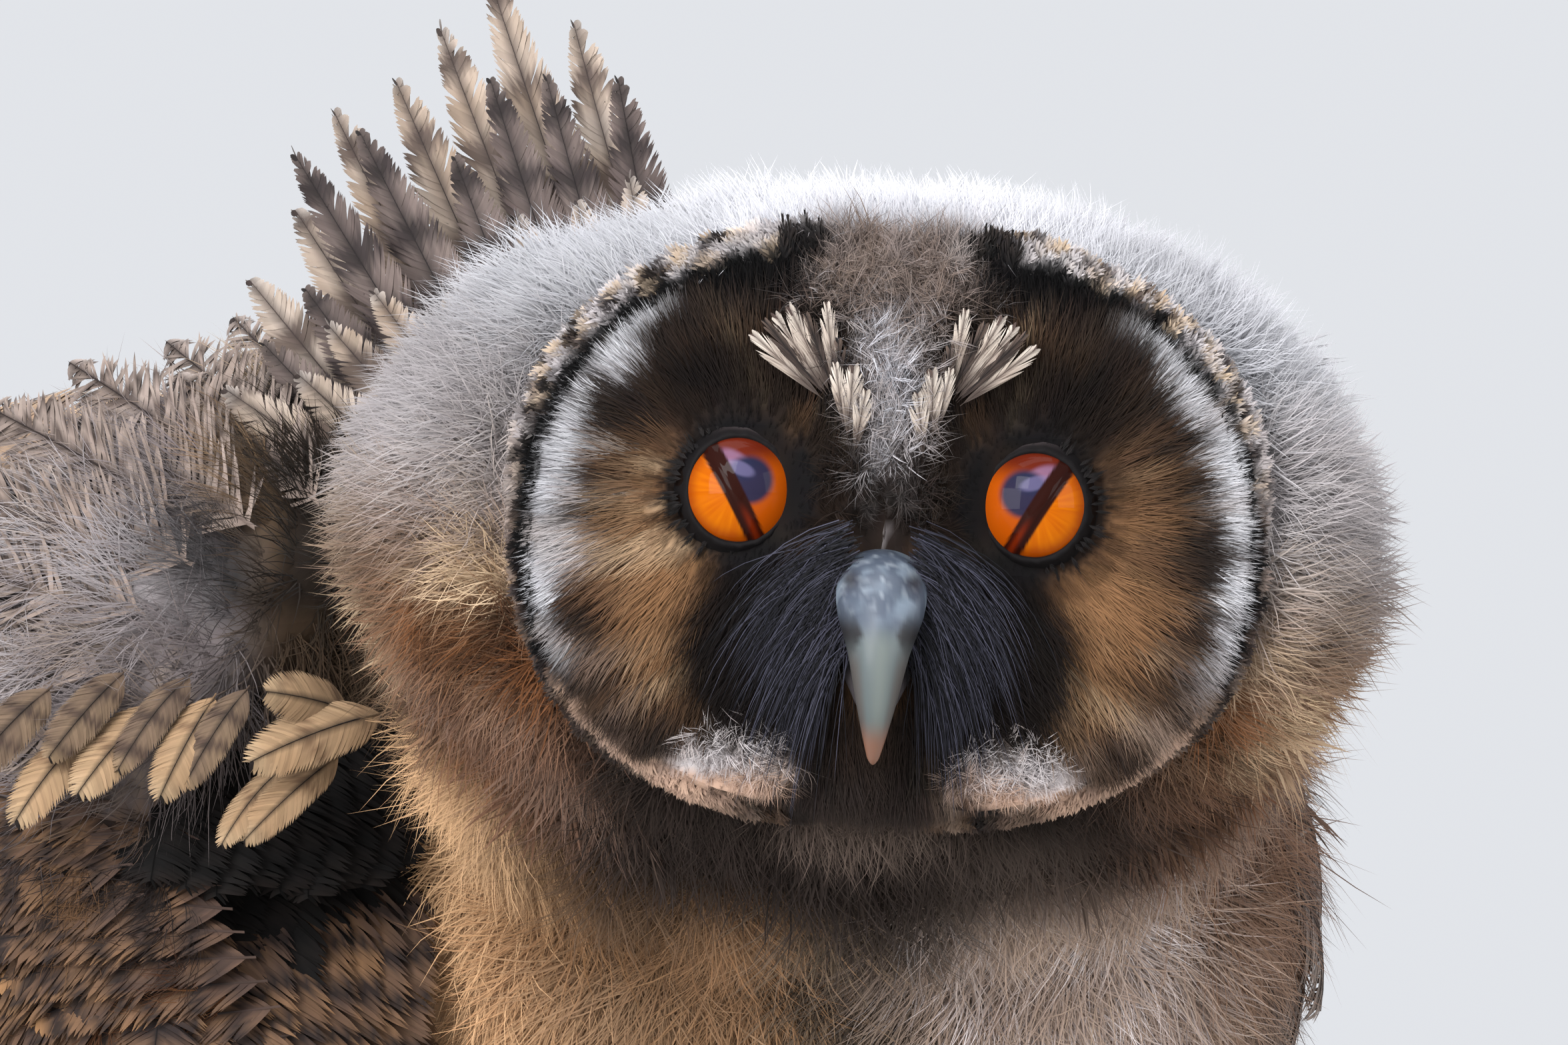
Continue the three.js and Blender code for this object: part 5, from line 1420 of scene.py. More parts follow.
# %% Lay the fans
def fan(
    kind, look, count, roots, tips, faces, wide,
    stack=(0, 0), bow=0.0, roll=0, uneven=0.04, seed=1, ridge=False,
):
    """Rows of feathers from a line of roots to a line of tips. stack is how far they rise above each other at
    root and tip, ridge puts the middle one on top, and uneven is how much their lengths differ."""
    rng = np.random.default_rng(seed)
    made = []
    for i in range(count):
        share = i / max(count - 1, 1)
        face = unit(curve(faces, share))
        level = -abs(2 * share - 0.98) if ridge else 2 * share - 1
        root = curve(roots, share) + face * level * stack[0]
        tip = curve(tips, share) + face * level * stack[1]
        length_share = 1 + uneven * rng.uniform(-1, 1)
        tip = root + (tip - root) * length_share + 0.012 * rng.normal(0, 1, 3) * np.linalg.norm(tip - root)
        aim = unit(tip - root)
        face = unit(face - np.dot(face, aim) * aim)
        turned = math.radians(roll + rng.normal(0, 4))
        face = face * math.cos(turned) + np.cross(aim, face) * math.sin(turned)
        breadth = wide[0] + (wide[1] - wide[0]) * share
        made.append(dict(
            root=root, aim=aim, face=face, long=np.linalg.norm(tip - root),
            wide=breadth * rng.uniform(0.94, 1.06), bow=bow, kind=kind, look=look, pick=int(rng.integers(4)),
        ))
    return made


def tier(kind, look, wing, start, end, raised, count, wide, bow, roll, seed, **rest):
    """A fan of coverts over a wing, from one share of its cover to another."""
    shares = (0.04, 0.35, 0.65, 0.96)
    inside = min(end, 1)
    roots = [wing.top(share, start, -1.6) for share in shares]
    tips = [
        wing.top(share, inside, raised) + wing.middle(share, end) - wing.middle(share, inside)
        for share in shares
    ]
    faces = [wing.up(share) for share in shares]
    return fan(kind, look, count, roots, tips, faces, wide, bow=bow, roll=roll, seed=seed, **rest)


LOOKS = {
    # ground, bar, bar pitch in mm, bar share, shaft, its share of the width, edge, its reach in mm
    "quill": ((128, 104, 84), (56, 44, 40), 11, 0.42, (46, 38, 34), 0.05, (172, 148, 122), 5),
    "hand": ((134, 108, 82), (50, 40, 36), 13, 0.45, (48, 38, 32), 0.05, (120, 98, 80), 6),
    "tail": ((132, 112, 94), (62, 52, 46), 8, 0.42, (52, 44, 38), 0.05, (176, 158, 138), 5),
    "covert": ((118, 104, 96), (58, 48, 44), 7, 0.3, (44, 36, 34), 0.08, (140, 128, 122), 4),
    "hand covert": ((66, 52, 46), (32, 27, 27), 6, 0.4, (28, 24, 24), 0.08, (132, 98, 66), 2.5),
    "scapular": ((142, 124, 108), (84, 72, 66), 13, 0.3, (58, 50, 48), 0.16, (190, 180, 172), 3),
    "scapular dark": ((78, 68, 66), (48, 42, 42), 9, 0.4, (38, 34, 34), 0.2, (132, 118, 112), 3),
    "fringe": ((132, 106, 80), (96, 74, 56), 9, 0.15, (30, 25, 23), 0.09, (146, 124, 98), 3),
    "fringe dark": ((84, 69, 58), (58, 46, 40), 5, 0.3, (30, 25, 23), 0.1, (122, 102, 80), 2),
    # the gap look is near black: painted shadow in the gap between the right arm and the neck
    "gap": ((12, 11, 11), (10, 9, 9), 6, 0.4, (9, 8, 8), 0.1, (26, 21, 19), 2),
    "ear": ((24, 21, 22), (17, 16, 17), 4, 0.5, (18, 16, 16), 0.1, (52, 45, 42), 1.2),
    "lash": ((18, 16, 17), (14, 13, 13), 3, 0.4, (14, 12, 12), 0.1, (40, 35, 34), 0.6),
    "brow": ((152, 139, 128), (98, 83, 75), 3, 0.3, (66, 54, 50), 0.2, (186, 176, 166), 3),
    "brow dark": ((52, 43, 40), (30, 26, 26), 3, 0.4, (24, 21, 21), 0.2, (92, 78, 70), 1.5),
}
BROW_ROOT = srgb(52, 43, 40)


def feather_colours(look, far, long, out, strand, number):
    """Linear colours of points on feathers, from how far along in mm and how far out they are."""
    ground, bar, pitch, share, shaft, shaft_share, edge, reach = (
        srgb(*value) if isinstance(value, tuple) else value for value in LOOKS[look]
    )
    chance = lattice(columns(strand, number, 0), 61)
    wave = noise(columns(far / 5, out * 1.5, number * 7.3), 1, 63)
    shift = lattice(columns(number, 0, 0), 65)
    canvas = Canvas(ground, len(far))
    canvas.lay(edge, 0.25 + 0.3 * wave)
    phase = (far / pitch + 0.16 * wave + 0.1 * np.abs(out) + shift) % 1
    canvas.lay(bar, step(np.abs(phase - 0.5), share / 2 + 0.05, share / 2 - 0.05) * 0.92)
    canvas.lay(edge, step(long - far, reach * 1.2, reach * 0.4) * 0.85)
    canvas.lay(edge, step(np.abs(out), 0.86, 1.02) * 0.6)
    canvas.lay(shaft, (strand == 0) * 1.0 + bump(out, shaft_share) * 0.75)
    canvas.lay(1.2 * ground, step(far / long, 0.2, 0.02) * 0.7)
    if look == "brow":
        canvas.lay(BROW_ROOT, step(far / long, 0.55, 0.15) * 0.92)
    return canvas.colours * (1 + 0.16 * (chance - 0.5) * 2)[:, None]


feather_paint = paint_by("feather", "coat", 0.75, Specular_IOR_Level=0.1, Sheen_Weight=0.04)
map_cells = itertools.count()


def place_feathers(name, rows, slot, *nodes):
    """One piece of feathers that stands for the nodes. The rows are sorted by the kind of feather."""
    parts = []
    for kind in SHELVES:
        chosen = [row for row in rows if row["kind"] == kind]
        if not chosen:
            continue
        keys = ("root", "aim", "face", "long", "wide", "bow", "pick")
        root, aim, face, long, wide, bow, pick = (np.array([row[key] for row in chosen]) for key in keys)
        cells = np.array([next(map_cells) for _ in chosen])
        given = {
            "aim": aim,
            "face": face,
            "size": columns(wide, long, wide) * MM,
            "bend": face * (bow * long)[:, None] * MM,
            "cell": columns(cells % MAP_CELLS, cells // MAP_CELLS, 0) / MAP_CELLS,
            "number": np.arange(len(chosen)),
        }
        piece = mesh_piece(f"{name}_{kind}", root, [])
        for layer, values in given.items():
            put_layer(piece.data, layer, values)
        piece.data.attributes.new("pick", "INT", "POINT").data.foreach_set("value", pick.astype(np.int32))
        mesh = set_feathers.grow(piece, Feathers=SHELVES[kind], Material=feather_paint)
        keys = ("along", "out", "strand", "number")
        along, out, strand, number = (layer_of(mesh, key, 1, "value") for key in keys)
        number = np.rint(number).astype(int)
        colours = np.zeros((len(along), 3))
        for look in {row["look"] for row in chosen}:
            used = np.isin(number, [i for i, row in enumerate(chosen) if row["look"] == look])
            which = number[used]
            far = along[used] * long[which]
            given_out = out[used], strand[used], which.astype(float)
            colours[used] = feather_colours(look, far, long[which], *given_out)
        colour_mesh(mesh, colours)
        leave_plain(mesh, feather_paint, *given, "pick", "along", "out", "strand", "patch")
        parts.append(piece)
    joined = parts[0]
    if len(parts) > 1:
        bpy.ops.object.select_all(action="DESELECT")
        for piece in parts:
            piece.select_set(True)
        bpy.context.view_layer.objects.active = joined
        bpy.ops.object.join()
        joined.select_set(False)
    joined.name = name
    finish_piece(joined, slot, *nodes)
    return joined


print("looks of feathers:", ", ".join(LOOKS))

# %% Feather the tail and the wings
def on_tail(side, along, raised=0.0):
    """A place by its distances across, along and above the tail."""
    return tail_root + along * tail_aim + raised * tail_up + np.array([side, 0, 0])


tilts = [math.radians(tilt) for tilt in (-20, 0, 20)]
tail_faces = [tail_up * math.cos(tilt) + np.cross(tail_aim, tail_up) * math.sin(tilt) for tilt in tilts]
place_feathers("feathers_tail", [
    *fan(
        "flight", "tail", 12, [on_tail(-10, 8, -1), on_tail(0, 8, 1), on_tail(10, 8, -1)],
        [on_tail(-31, 83, -2), on_tail(0, 95, 1), on_tail(31, 83, -2)], tail_faces,
        (16, 16), stack=(3.8, 5.2), bow=-0.03, ridge=True, seed=2,
    ),
], "feather", "tail")


def row_of(kind, look, root, tip, face, wide, bow=0.06, pick=0):
    """One feather that isn't part of a fan."""
    root, tip = np.array(root, float), np.array(tip, float)
    aim = unit(tip - root)
    face = unit(np.array(face, float) - np.dot(face, aim) * aim)
    long = np.linalg.norm(tip - root)
    return dict(root=root, aim=aim, face=face, long=long, wide=wide, bow=bow, kind=kind, look=look, pick=pick)


def ovals():
    """The smooth buff feathers below the right arm."""
    places = (
        # across and height of the root, across and height of the tip, width, look
        (-61, 190.5, -71, 193, 7, "fringe"),
        (-57, 190, -73, 184, 8, "fringe"),
        (-62, 185, -73.5, 174.5, 5.5, "fringe"),
        (-68.5, 183.5, -76, 174, 4.6, "fringe"),
        (-73, 193, -80.5, 181, 5.5, "fringe dark"),
        (-77, 192, -83.5, 179.5, 6.5, "fringe"),
        (-80, 194.5, -88.5, 183, 5.5, "fringe dark"),
        (-84, 191, -93.5, 180, 7, "fringe"),
        (-88, 195, -97, 184.5, 6, "fringe dark"),
        (-91, 189, -101, 176.5, 7, "fringe"),
        (-97, 193, -107, 182, 7, "fringe dark"),
    )
    rows = []
    for i, (x, z, tip_x, tip_z, wide, look) in enumerate(places):
        root, tip = (x, -44 - 0.4 * (i % 3), z), (tip_x, -53 - 0.9 * (i % 2), tip_z)
        rows.append(row_of("oval", look, root, tip, (-0.25 + 0.1 * (i % 3), -1, 0.25), wide, 0.1, i % 4))
    return rows


def hidden_coverts():
    """Rows of short feathers that close the gap between the right arm and the neck; the front rows are
    painted near black as the shadow in that gap.
    """
    rows = []
    for back, look, foot, tip, seed in (
        # mm behind the first row, look, heights of root and tip above the perch's middle, seed
        (0, "gap", 132, 112, 33),
        (9, "gap", 127, 101, 35),
        (3, "hand covert", 112, 86, 38),
        (6, "hand covert", 98, 70, 39),
        (22, "covert", 134, 98, 40),
        (17, "covert", 146, 112, 43),
    ):
        roots = [(-55, -24 + back, TOP + foot), (-82, -34 + back, TOP + foot - 6)]
        tips = [(-57, -31 + back, TOP + tip), (-69, -39 + back, TOP + tip - 4), (-84, -42 + back, TOP + tip)]
        faces = [(-0.2, -1, 0.1), (-0.2, -1, 0.1)]
        rows += fan(
            "covert", look, 9, roots, tips, faces, (13, 13),
            stack=(0.6, 1.6), bow=0.05, uneven=0.16, seed=seed,
        )
    return rows


right_rows = {
    "wing_right_arm": [
        *fan(
            "flight", "quill", 12, [right_arm.middle(share, 0.4) for share in (0.25, 0.6, 0.93)],
            [(-96, 80, TOP + 172), (-144, 52, TOP + 158), (-176, 22, TOP + 106)],
            [(-0.45, -0.4, 0.8), (-0.5, -0.62, 0.6)], (23, 22), stack=(1.6, 4), bow=0.05, seed=3,
        ),
        *tier("plume", "covert", right_arm, 0.42, 1.22, 2.4, 10, (15, 15), 0.03, -12, 15, uneven=0.1),
        *tier("plume", "covert", right_arm, 0.24, 0.9, 1.6, 9, (15, 15), 0.02, -12, 16, uneven=0.1),
        *ovals(),
    ],
    "wing_right_hand": [
        *fan(
            "flight", "hand", 10, [right_hand.middle(share, 0.35) for share in (0.08, 0.5, 0.9)],
            [(-180, 20, TOP + 72), (-192, 24, TOP + 14), (-150, 22, TOP - 16)],
            [(-0.4, -0.8, 0.45), (-0.25, -0.95, 0.2)], (22, 17), stack=(1.6, 4), bow=0.05, seed=5,
        ),
        *tier("covert", "hand covert", right_hand, 0.3, 1.25, 0.8, 9, (14, 12), 0.03, -12, 19, uneven=0.08),
        *tier("covert", "hand covert", right_hand, 0.12, 0.8, 1.2, 10, (12, 10), 0.04, -12, 20, uneven=0.08),
        *tier("covert", "hand covert", right_hand, -0.04, 0.5, 1.4, 11, (10, 9), 0.06, -12, 22, uneven=0.1),
        *hidden_coverts(),
    ],
}
shoulder_roots = np.array([(-17, 12, TOP + 158), (-32, 6, TOP + 157), (-46, -3, TOP + 152)])
shoulder_faces = [(-0.2, -1, 0.15), (-0.35, -0.9, 0.4)]
right_rows["wing_right_shoulder"] = [
    *fan(
        "blade", "scapular", 7, shoulder_roots,
        [(-35, 24, TOP + 219), (-52, 22, TOP + 221), (-64, 14, TOP + 208), (-76, 2, TOP + 188)],
        shoulder_faces, (11, 11), stack=(1.2, 3.6), bow=0.03, uneven=0.12, seed=7,
    ),
    *fan(
        "blade", "scapular dark", 8, shoulder_roots + (-1, -4, -1),
        [(-28, 12, TOP + 205), (-46, 14, TOP + 206), (-63, 2, TOP + 199), (-75, -6, TOP + 180)],
        shoulder_faces, (10, 10), stack=(0.8, 2.4), bow=0.04, uneven=0.2, seed=9,
    ),
    *fan(
        "blade", "scapular", 9, shoulder_roots + (-1, -9, -2),
        [(-26, 4, TOP + 193), (-44, 2, TOP + 190), (-60, -8, TOP + 182), (-72, -14, TOP + 168)],
        shoulder_faces, (10, 10), stack=(0.8, 2.4), bow=0.05, uneven=0.2, seed=10,
    ),
]
left_rows = {
    "wing_left_arm": [
        *fan(
            "flight", "quill", 10, [left_arm.middle(share, 0.45) for share in (0.06, 0.5, 0.94)],
            [(44, 86, TOP + 42), (39, 97, TOP + 56), (25, 99, TOP + 80)],
            [(1, 0.1, 0.2), (0.7, 0.25, 0.7)], (19, 20), stack=(-1.2, -3), bow=0.03, seed=21,
        ),
        *tier("covert", "covert", left_arm, 0.45, 1.12, 3.0, 9, (14, 15), 0.03, 12, 25, uneven=0.08),
        *tier("covert", "covert", left_arm, 0.26, 0.85, 3.4, 8, (14, 15), 0.04, 12, 26, uneven=0.08),
        *tier("plume", "covert", left_arm, 0.08, 0.58, 3.6, 8, (14, 15), 0.05, 12, 27, uneven=0.08),
    ],
    "wing_left_hand": [
        *fan(
            "flight", "hand", 8, [left_hand.middle(share, 0.5) for share in (0.15, 0.5, 0.85)],
            [(47, 92, TOP + 8), (45, 118, TOP + 2), (43, 128, TOP + 16)],
            [(1, 0.1, -0.05), (1, 0.1, 0.15)], (13, 15), stack=(-1, -2.5), bow=0.02, seed=23,
        ),
        *tier("covert", "covert", left_hand, 0.4, 1.1, 0.8, 6, (12, 13), 0.03, 12, 29, uneven=0.08),
    ],
}
for node, rows in {**right_rows, **left_rows}.items():
    place_feathers("feathers_" + node, rows, "feather", node)

# %% [markdown]
# The face keeps a few larger feathers over its down: the brow feathers that part above the bill, the
# short dark lashes round the lids and the budding ear tufts. The same tree sets them, in the head's
# frame. The long black bristles beside the bill are one mesh of thin curved blades, some streaked
# with a painted bluish sheen.

# %% Feather the face
LASHES = 64
BRISTLES = 800
BRISTLE_BLACK, BRISTLE_SHEEN = srgb(10, 10, 13), srgb(66, 66, 80)


def on_face(x, z, raised=0.0):
    """A place on the face in the head's frame, raised above its surface."""
    return np.array([x, -face_forward(x, z) - raised, z])


def on_head(rows):
    """Rows given in the head's frame, moved to the bird."""
    for row in rows:
        row["root"] = from_head(row["root"])
        row["aim"] = ROLL @ row["aim"]
        row["face"] = ROLL @ row["face"]
    return rows


def brow(side):
    """A small fan over each eye, and a few upright ones beside the wedge of the forehead."""
    places = (
        # across and up of the root, across and up of the tip, width, look
        (8.4, 13.8, 16.8, 20.8, 2.6, "brow"),
        (8.0, 14.2, 15.4, 22.4, 2.0, "brow dark"),
        (7.8, 14.4, 14.2, 23.2, 2.6, "brow"),
        (7.4, 14.6, 12.6, 24.2, 2.4, "brow"),
        (7.0, 14.8, 10.6, 23.4, 2.2, "brow dark"),
        (6.6, 14.4, 8.2, 24.8, 2.2, "brow"),
        (6.0, 12.8, 6.6, 20.6, 2.2, "brow dark"),
        (4.9, 9.4, 4.6, 17.6, 3.0, "brow"),
        (4.0, 7.6, 3.0, 14.8, 2.6, "brow"),
        (5.4, 10.4, 6.8, 17.8, 2.0, "brow"),
    )
    rows = []
    for i, (x, z, tip_x, tip_z, wide, look) in enumerate(places):
        root, tip = on_face(side * x, z, -0.6), on_face(side * tip_x, tip_z, 1.1 + 0.3 * (i % 2))
        rows.append(row_of("wisp", look, root, tip, (side * 0.1, -1, 0.1), wide, 0.04, i % 4))
    return rows


def lash_rows(side):
    """Short dark feathers that lie outward round the bare lids, but for the pale fold at the inner corner."""
    rng = np.random.default_rng(59 + side)
    rows = []
    for i in range(LASHES):
        angle = math.radians(90 + side * 48 + rng.uniform(38, 322))
        out = np.array([math.cos(angle), 0, math.sin(angle)])
        middle = np.array([side * (EYE_SIDE + 0.2), -EYE_DEPTH - LID_FORWARD, EYE_HEIGHT])
        near = rng.uniform(6.5, 7.6)
        root = middle + out * near + (0, 0.5 + 0.9 * (near - 6.5), 0)
        tip = root + out * rng.uniform(1.4, 2.3) + (0, rng.uniform(0.5, 1.5), 0) + rng.normal(0, 0.3, 3)
        rows.append(row_of("lock", "lash", root, tip, (0, -1, 0.1), rng.uniform(0.5, 0.9), 0.08, i % 4))
    return rows


def ear_tuft(side):
    foot = np.array([side * 9.4, -29, 31.5])
    roots = [foot + (-side * 2.4, -1, -2.4), foot + (side * 3.4, -1, -2.4)]
    tips = [foot + (-side * 2, -2.6, 1.6), foot + (side * 1.4, -2.4, 2.8), foot + (side * 4.4, -2.6, 1.6)]
    faces = [(0, -1, 0.4), (side * 0.3, -1, 0.3)]
    return fan(
        "lock", "ear", 14, roots, tips, faces, (2.8, 2.8),
        stack=(1.4, 1.6), roll=side * 12, uneven=0.3, seed=31 + side,
    )


place_feathers("brow_feathers", on_head(brow(-1) + brow(1)), "face_and_crown")
place_feathers("lash_feathers", on_head(lash_rows(-1) + lash_rows(1)), "face_and_crown")
for side, hand in SIDES:
    place_feathers("ear_feathers_" + hand, on_head(ear_tuft(side)), "face_and_crown", "ear_tuft_" + hand)


def bristle_form():
    """Long black hairs that spring from beside the bill, go outward and curve down."""
    rng = np.random.default_rng(47)
    points, faces, shades = [], [], []
    for side in (-1, 1):
        for _ in range(BRISTLES):
            share = rng.uniform()
            root = np.array([side * (4.4 + 0.8 * rng.normal()), -2 - 14 * share + rng.normal()])
            out = side * (13 - 8.5 * share + 2.2 * rng.normal())
            down = -(13 + 3 * share + 3 * rng.normal())
            reach = rng.uniform(0.6, 1.1)
            half = rng.uniform(0.04, 0.08)
            rise = rng.uniform(1.0, 3.4)
            # painted sheen: a few bristles are painted bluish grey for the sheen on black hair
            shades += [BRISTLE_BLACK + rng.uniform() ** 3 * (BRISTLE_SHEEN - BRISTLE_BLACK)] * 11
            start = len(points)
            for u in (0, 0.22, 0.44, 0.66, 0.86, 1):
                x = root[0] + out * reach * (1.4 * u - 0.4 * u * u)
                z = root[1] + down * reach * (0.45 * u + 0.55 * u * u)
                along = unit(np.array([out * (1.4 - 0.8 * u), 0, down * (0.45 + 1.1 * u)]))
                across = np.cross(along, (0, 1, 0)) * half * (1 - 0.7 * u)
                middle = on_face(x, z, 0.4 + rise * math.sin(math.pi * (0.15 + 0.7 * u)))
                points += [middle - across, middle + across] if u < 1 else [middle]
            for i in (0, 2, 4, 6):
                faces.append((start + i, start + i + 1, start + i + 3, start + i + 2))
            faces.append((start + 8, start + 9, start + 10))
    return from_head(points), faces, np.array(shades)


bristle_paint = paint_by("bristle", "stain", 0.6, Specular_IOR_Level=0.12)
stained_piece("rictal_bristles", *bristle_form(), bristle_paint, "face_and_crown")

# %% [markdown]
# Each eye is a ball whose front is dense enough to be painted: an orange iris and the third eyelid,
# drawn half across from the inner corner, through which the pupil shows as a hazy disc. The violet
# haze over the upper pupil is partly the eyelid's own and partly a painted soft reflection, and a small
# painted highlight sits at the upper outer side. The third eyelid stands a little above the ball, with
# a dark edge. A thin clear coat gives the wet shine. Round the eye runs the black bare rim of the lids.

# %% Model the eyes
EYE_EDGES = 120
FRONT_TURN = 1.05  # radians from the middle of the ball's front to where its fine rings end
LID_PROFILE = (
    # radius of the ring, and how far it stands before the eye's opening
    (5.7, -0.5), (5.85, 0.1), (6.15, 0.4), (6.5, 0.3), (6.8, -0.3), (7.15, -1.0), (7.6, -1.9), (8.2, -3.0),
    (9.0, -4.4),
)


def eye_axes(side):
    """The eye's middle, the way it looks, and the ways across and up."""
    aim = np.array([side * math.sin(EYE_TURN), -math.cos(EYE_TURN), 0])
    middle = np.array([side * EYE_SIDE, -EYE_DEPTH, EYE_HEIGHT])
    return middle, aim, unit(np.cross(aim, (0, 0, -1))), np.array([0, 0, 1])


def eye_colours(x, z, side):
    """Linear colours of the eye's front, from its middle in mm, and how far each place is above the edge of
    the third eyelid. side is -1 for the bird's right eye."""
    inner = -side * x  # towards the bill
    far = np.hypot(x, z)
    across = 0.87 * (inner + 0.4) + 0.5 * (z + 0.45) + 0.004 * (z - inner) ** 2 - 0.1
    turn = np.arctan2(z, inner)
    rays = 0.5 * noise(columns(turn * 9, far / 3, 0), 1, 71)
    rays = rays + 0.5 * noise(columns(turn * 22, far / 2, 0), 1, 72)
    veil = step(across, 0.55, 0.95)
    pupil = step(np.hypot(inner - 1.35, z - 1.25), 3.3, 2.3)
    canvas = Canvas(srgb(156, 74, 0), len(x))
    for colour, amount in (
        ((176, 96, 0), 0.3 + 0.6 * rays),
        ((120, 44, 2), step(far, 4.4, 6.0) * 0.8),
        ((146, 62, 3), veil),
        ((74, 20, 10), veil * step(z - 0.3 * inner, 0.5, 4.6) * 0.95),
        # partly the third eyelid's own violet haze, partly a painted soft reflection
        ((112, 84, 108), veil * blob(inner, z, (-0.4, 3.0), (2.6, 1.4), -30) * 0.75),
        ((20, 28, 50), pupil * veil * 0.97),
        # painted soft reflection over the upper pupil, with the eyelid's own haze
        ((96, 90, 122), veil * blob(inner, z, (0.2, 2.6), (1.8, 0.8), -20) * 0.5),
        # painted highlight: a small near-white spot at the upper outer side
        ((220, 220, 232), bump(np.hypot(inner + 3.0, z - 3.2), 0.42)),
        ((12, 9, 10), pupil * (1 - veil)),
        ((32, 9, 5), step(np.abs(across - 0.05), 1.3, 1.0)),
        ((100, 28, 4), bump(across - 0.25, 0.4) * step(z, -1, -4) * 0.8),
        ((20, 14, 12), step(far, 5.9, 6.5)),
    ):
        canvas.lay(srgb(*colour), amount)
    return canvas.colours, across


def eye_piece(side, hand):
    """The ball, with fine rings at its front and a step at the edge of the third eyelid."""
    middle, aim, across_way, up_way = eye_axes(side)
    rings, colours = [], []
    angle = np.linspace(0, 2 * np.pi, EYE_EDGES, endpoint=False)
    turns = np.concatenate([np.linspace(0.012, FRONT_TURN, 70), np.linspace(1.15, 3.05, 14)])
    for turn in turns:
        reach = EYE_RADIUS * math.sin(turn)
        x, z = reach * np.cos(angle), reach * np.sin(angle)
        colour, across = eye_colours(x, z, side)
        edge = 0.14 * step(across, -0.7, -0.3) * (turn < FRONT_TURN) + 0.1 * bump(across - 0.1, 0.5)
        radius = 1 + edge / EYE_RADIUS - 0.012
        ring = middle + (x * radius)[:, None] * across_way + (z * radius)[:, None] * up_way
        rings.append(ring + (EYE_RADIUS * math.cos(turn) * radius)[:, None] * aim)
        colours.append(colour)
    points, faces = loft(rings)
    colours = np.vstack([colours[0][:1], *colours, colours[-1][:1]])
    stained_piece("eyeball_eye_" + hand, from_head(points), faces, colours, eye_paint, "eye", "eye_" + hand)


def lid_piece(side, hand):
    """The dark bare rim of the lids, which runs into the down, with a raised pale fold at the inner upper
    corner, its grey partly the skin's own colour and partly a painted highlight.
    """
    middle, aim, across_way, up_way = eye_axes(side)
    middle = middle + aim * LID_FORWARD
    angle = np.linspace(0, 2 * np.pi, EYE_EDGES, endpoint=False)
    out = 0.955 * np.cos(angle)[:, None] * across_way + 1.04 * np.sin(angle)[:, None] * up_way
    corner = np.maximum(0, np.cos(angle - math.radians(90 + side * 48))) ** 2
    rings, colours = [], []
    for radius, forward in LID_PROFILE:
        grain = 0.1 * noise(columns(np.cos(angle) * 9, np.sin(angle) * 9, radius * 2), 1, 81)
        fold = 1.3 * corner * bump(radius - 7.6, 0.5)
        rings.append(middle + out * (radius + grain)[:, None] + aim * (forward + grain + fold)[:, None])
        canvas = Canvas(srgb(17, 15, 16), EYE_EDGES)
        # the fold's grey: partly the skin's own colour, partly a painted highlight
        canvas.lay(srgb(108, 97, 98), corner * bump(radius - 7.6, 0.5) * 0.9)
        colours.append(canvas.colours)
    faces = []
    for i, j in itertools.product(range(len(rings) - 1), range(EYE_EDGES)):
        a, b = i * EYE_EDGES + j, i * EYE_EDGES + (j + 1) % EYE_EDGES
        faces.append((a, b, b + EYE_EDGES, a + EYE_EDGES))
    points, colours = from_head(np.vstack(rings)), np.vstack(colours)
    stained_piece("eyelid_" + hand, points, faces, colours, lid_paint, "face_and_crown")


eye_paint = paint_by("eye", "stain", 0.5, Coat_Weight=0.1, Coat_Roughness=0.05, Specular_IOR_Level=0.02)
lid_paint = paint_by("lid", "stain", 0.7, Specular_IOR_Level=0.08)
for side, hand in SIDES:
    eye_piece(side, hand)
    lid_piece(side, hand)

# %% [markdown]
# The bill is the same tapered limb as in the solids with many more points. The nostrils are pits in the
# soft cere above, and its colour goes from a mottled pale grey through blue-grey to a brownish tip. The
# lower bill lies behind it.

# %% Model the bill
BILL_HALF_WIDTH = 5.5
NOSTRIL_SIDE, NOSTRIL_HEIGHT = 3.9, -7.4


def bill_colours(places):
    """Linear colours of the upper bill, from its tip to the cere, which has a dark notch on each side."""
    x, _, z = places.T
    patches = cloud(places, 2.6, 91)
    specks = cloud(places, 0.9, 92)
    half = np.interp(z, [-29, -26, -21.5, -16, -11], [0.5, 1.3, 2.4, 3.6, 5.1])
    outward_share = np.abs(x) / half
    notch = step(np.abs(x) - 0.45 * np.abs(z + 13.8), 1.6, 2.3)
    canvas = Canvas(srgb(74, 82, 84), len(places))
    for colour, amount in (
        ((62, 70, 84), step(z, -15, -12) * 0.9),
        ((112, 124, 136), step(z, -14, -9) * step(patches, -0.1, 0.4) * 0.8),
        ((146, 154, 162), step(z, -13, -8) * step(specks, 0.0, 0.7) * 0.5),
        ((100, 106, 102), 0.6 * bump(x - 0.4, 1.1) * step(z, -12, -16)),
        ((66, 58, 54), step(z, -14, -18) * step(outward_share, 0.45, 0.85) * 0.75),
        ((22, 20, 22), bump(z + 13.8, 2.2) * notch * 0.95),
        ((114, 76, 58), step(z, -23.5, -27) * 0.85),
        # painted shade: the nostril pits are painted dark
        ((34, 30, 34), bump(np.hypot(np.abs(x) - NOSTRIL_SIDE, (z - NOSTRIL_HEIGHT) * 0.9), 1.1) * 0.9),
    ):
        canvas.lay(srgb(*colour), amount)
    return canvas.colours


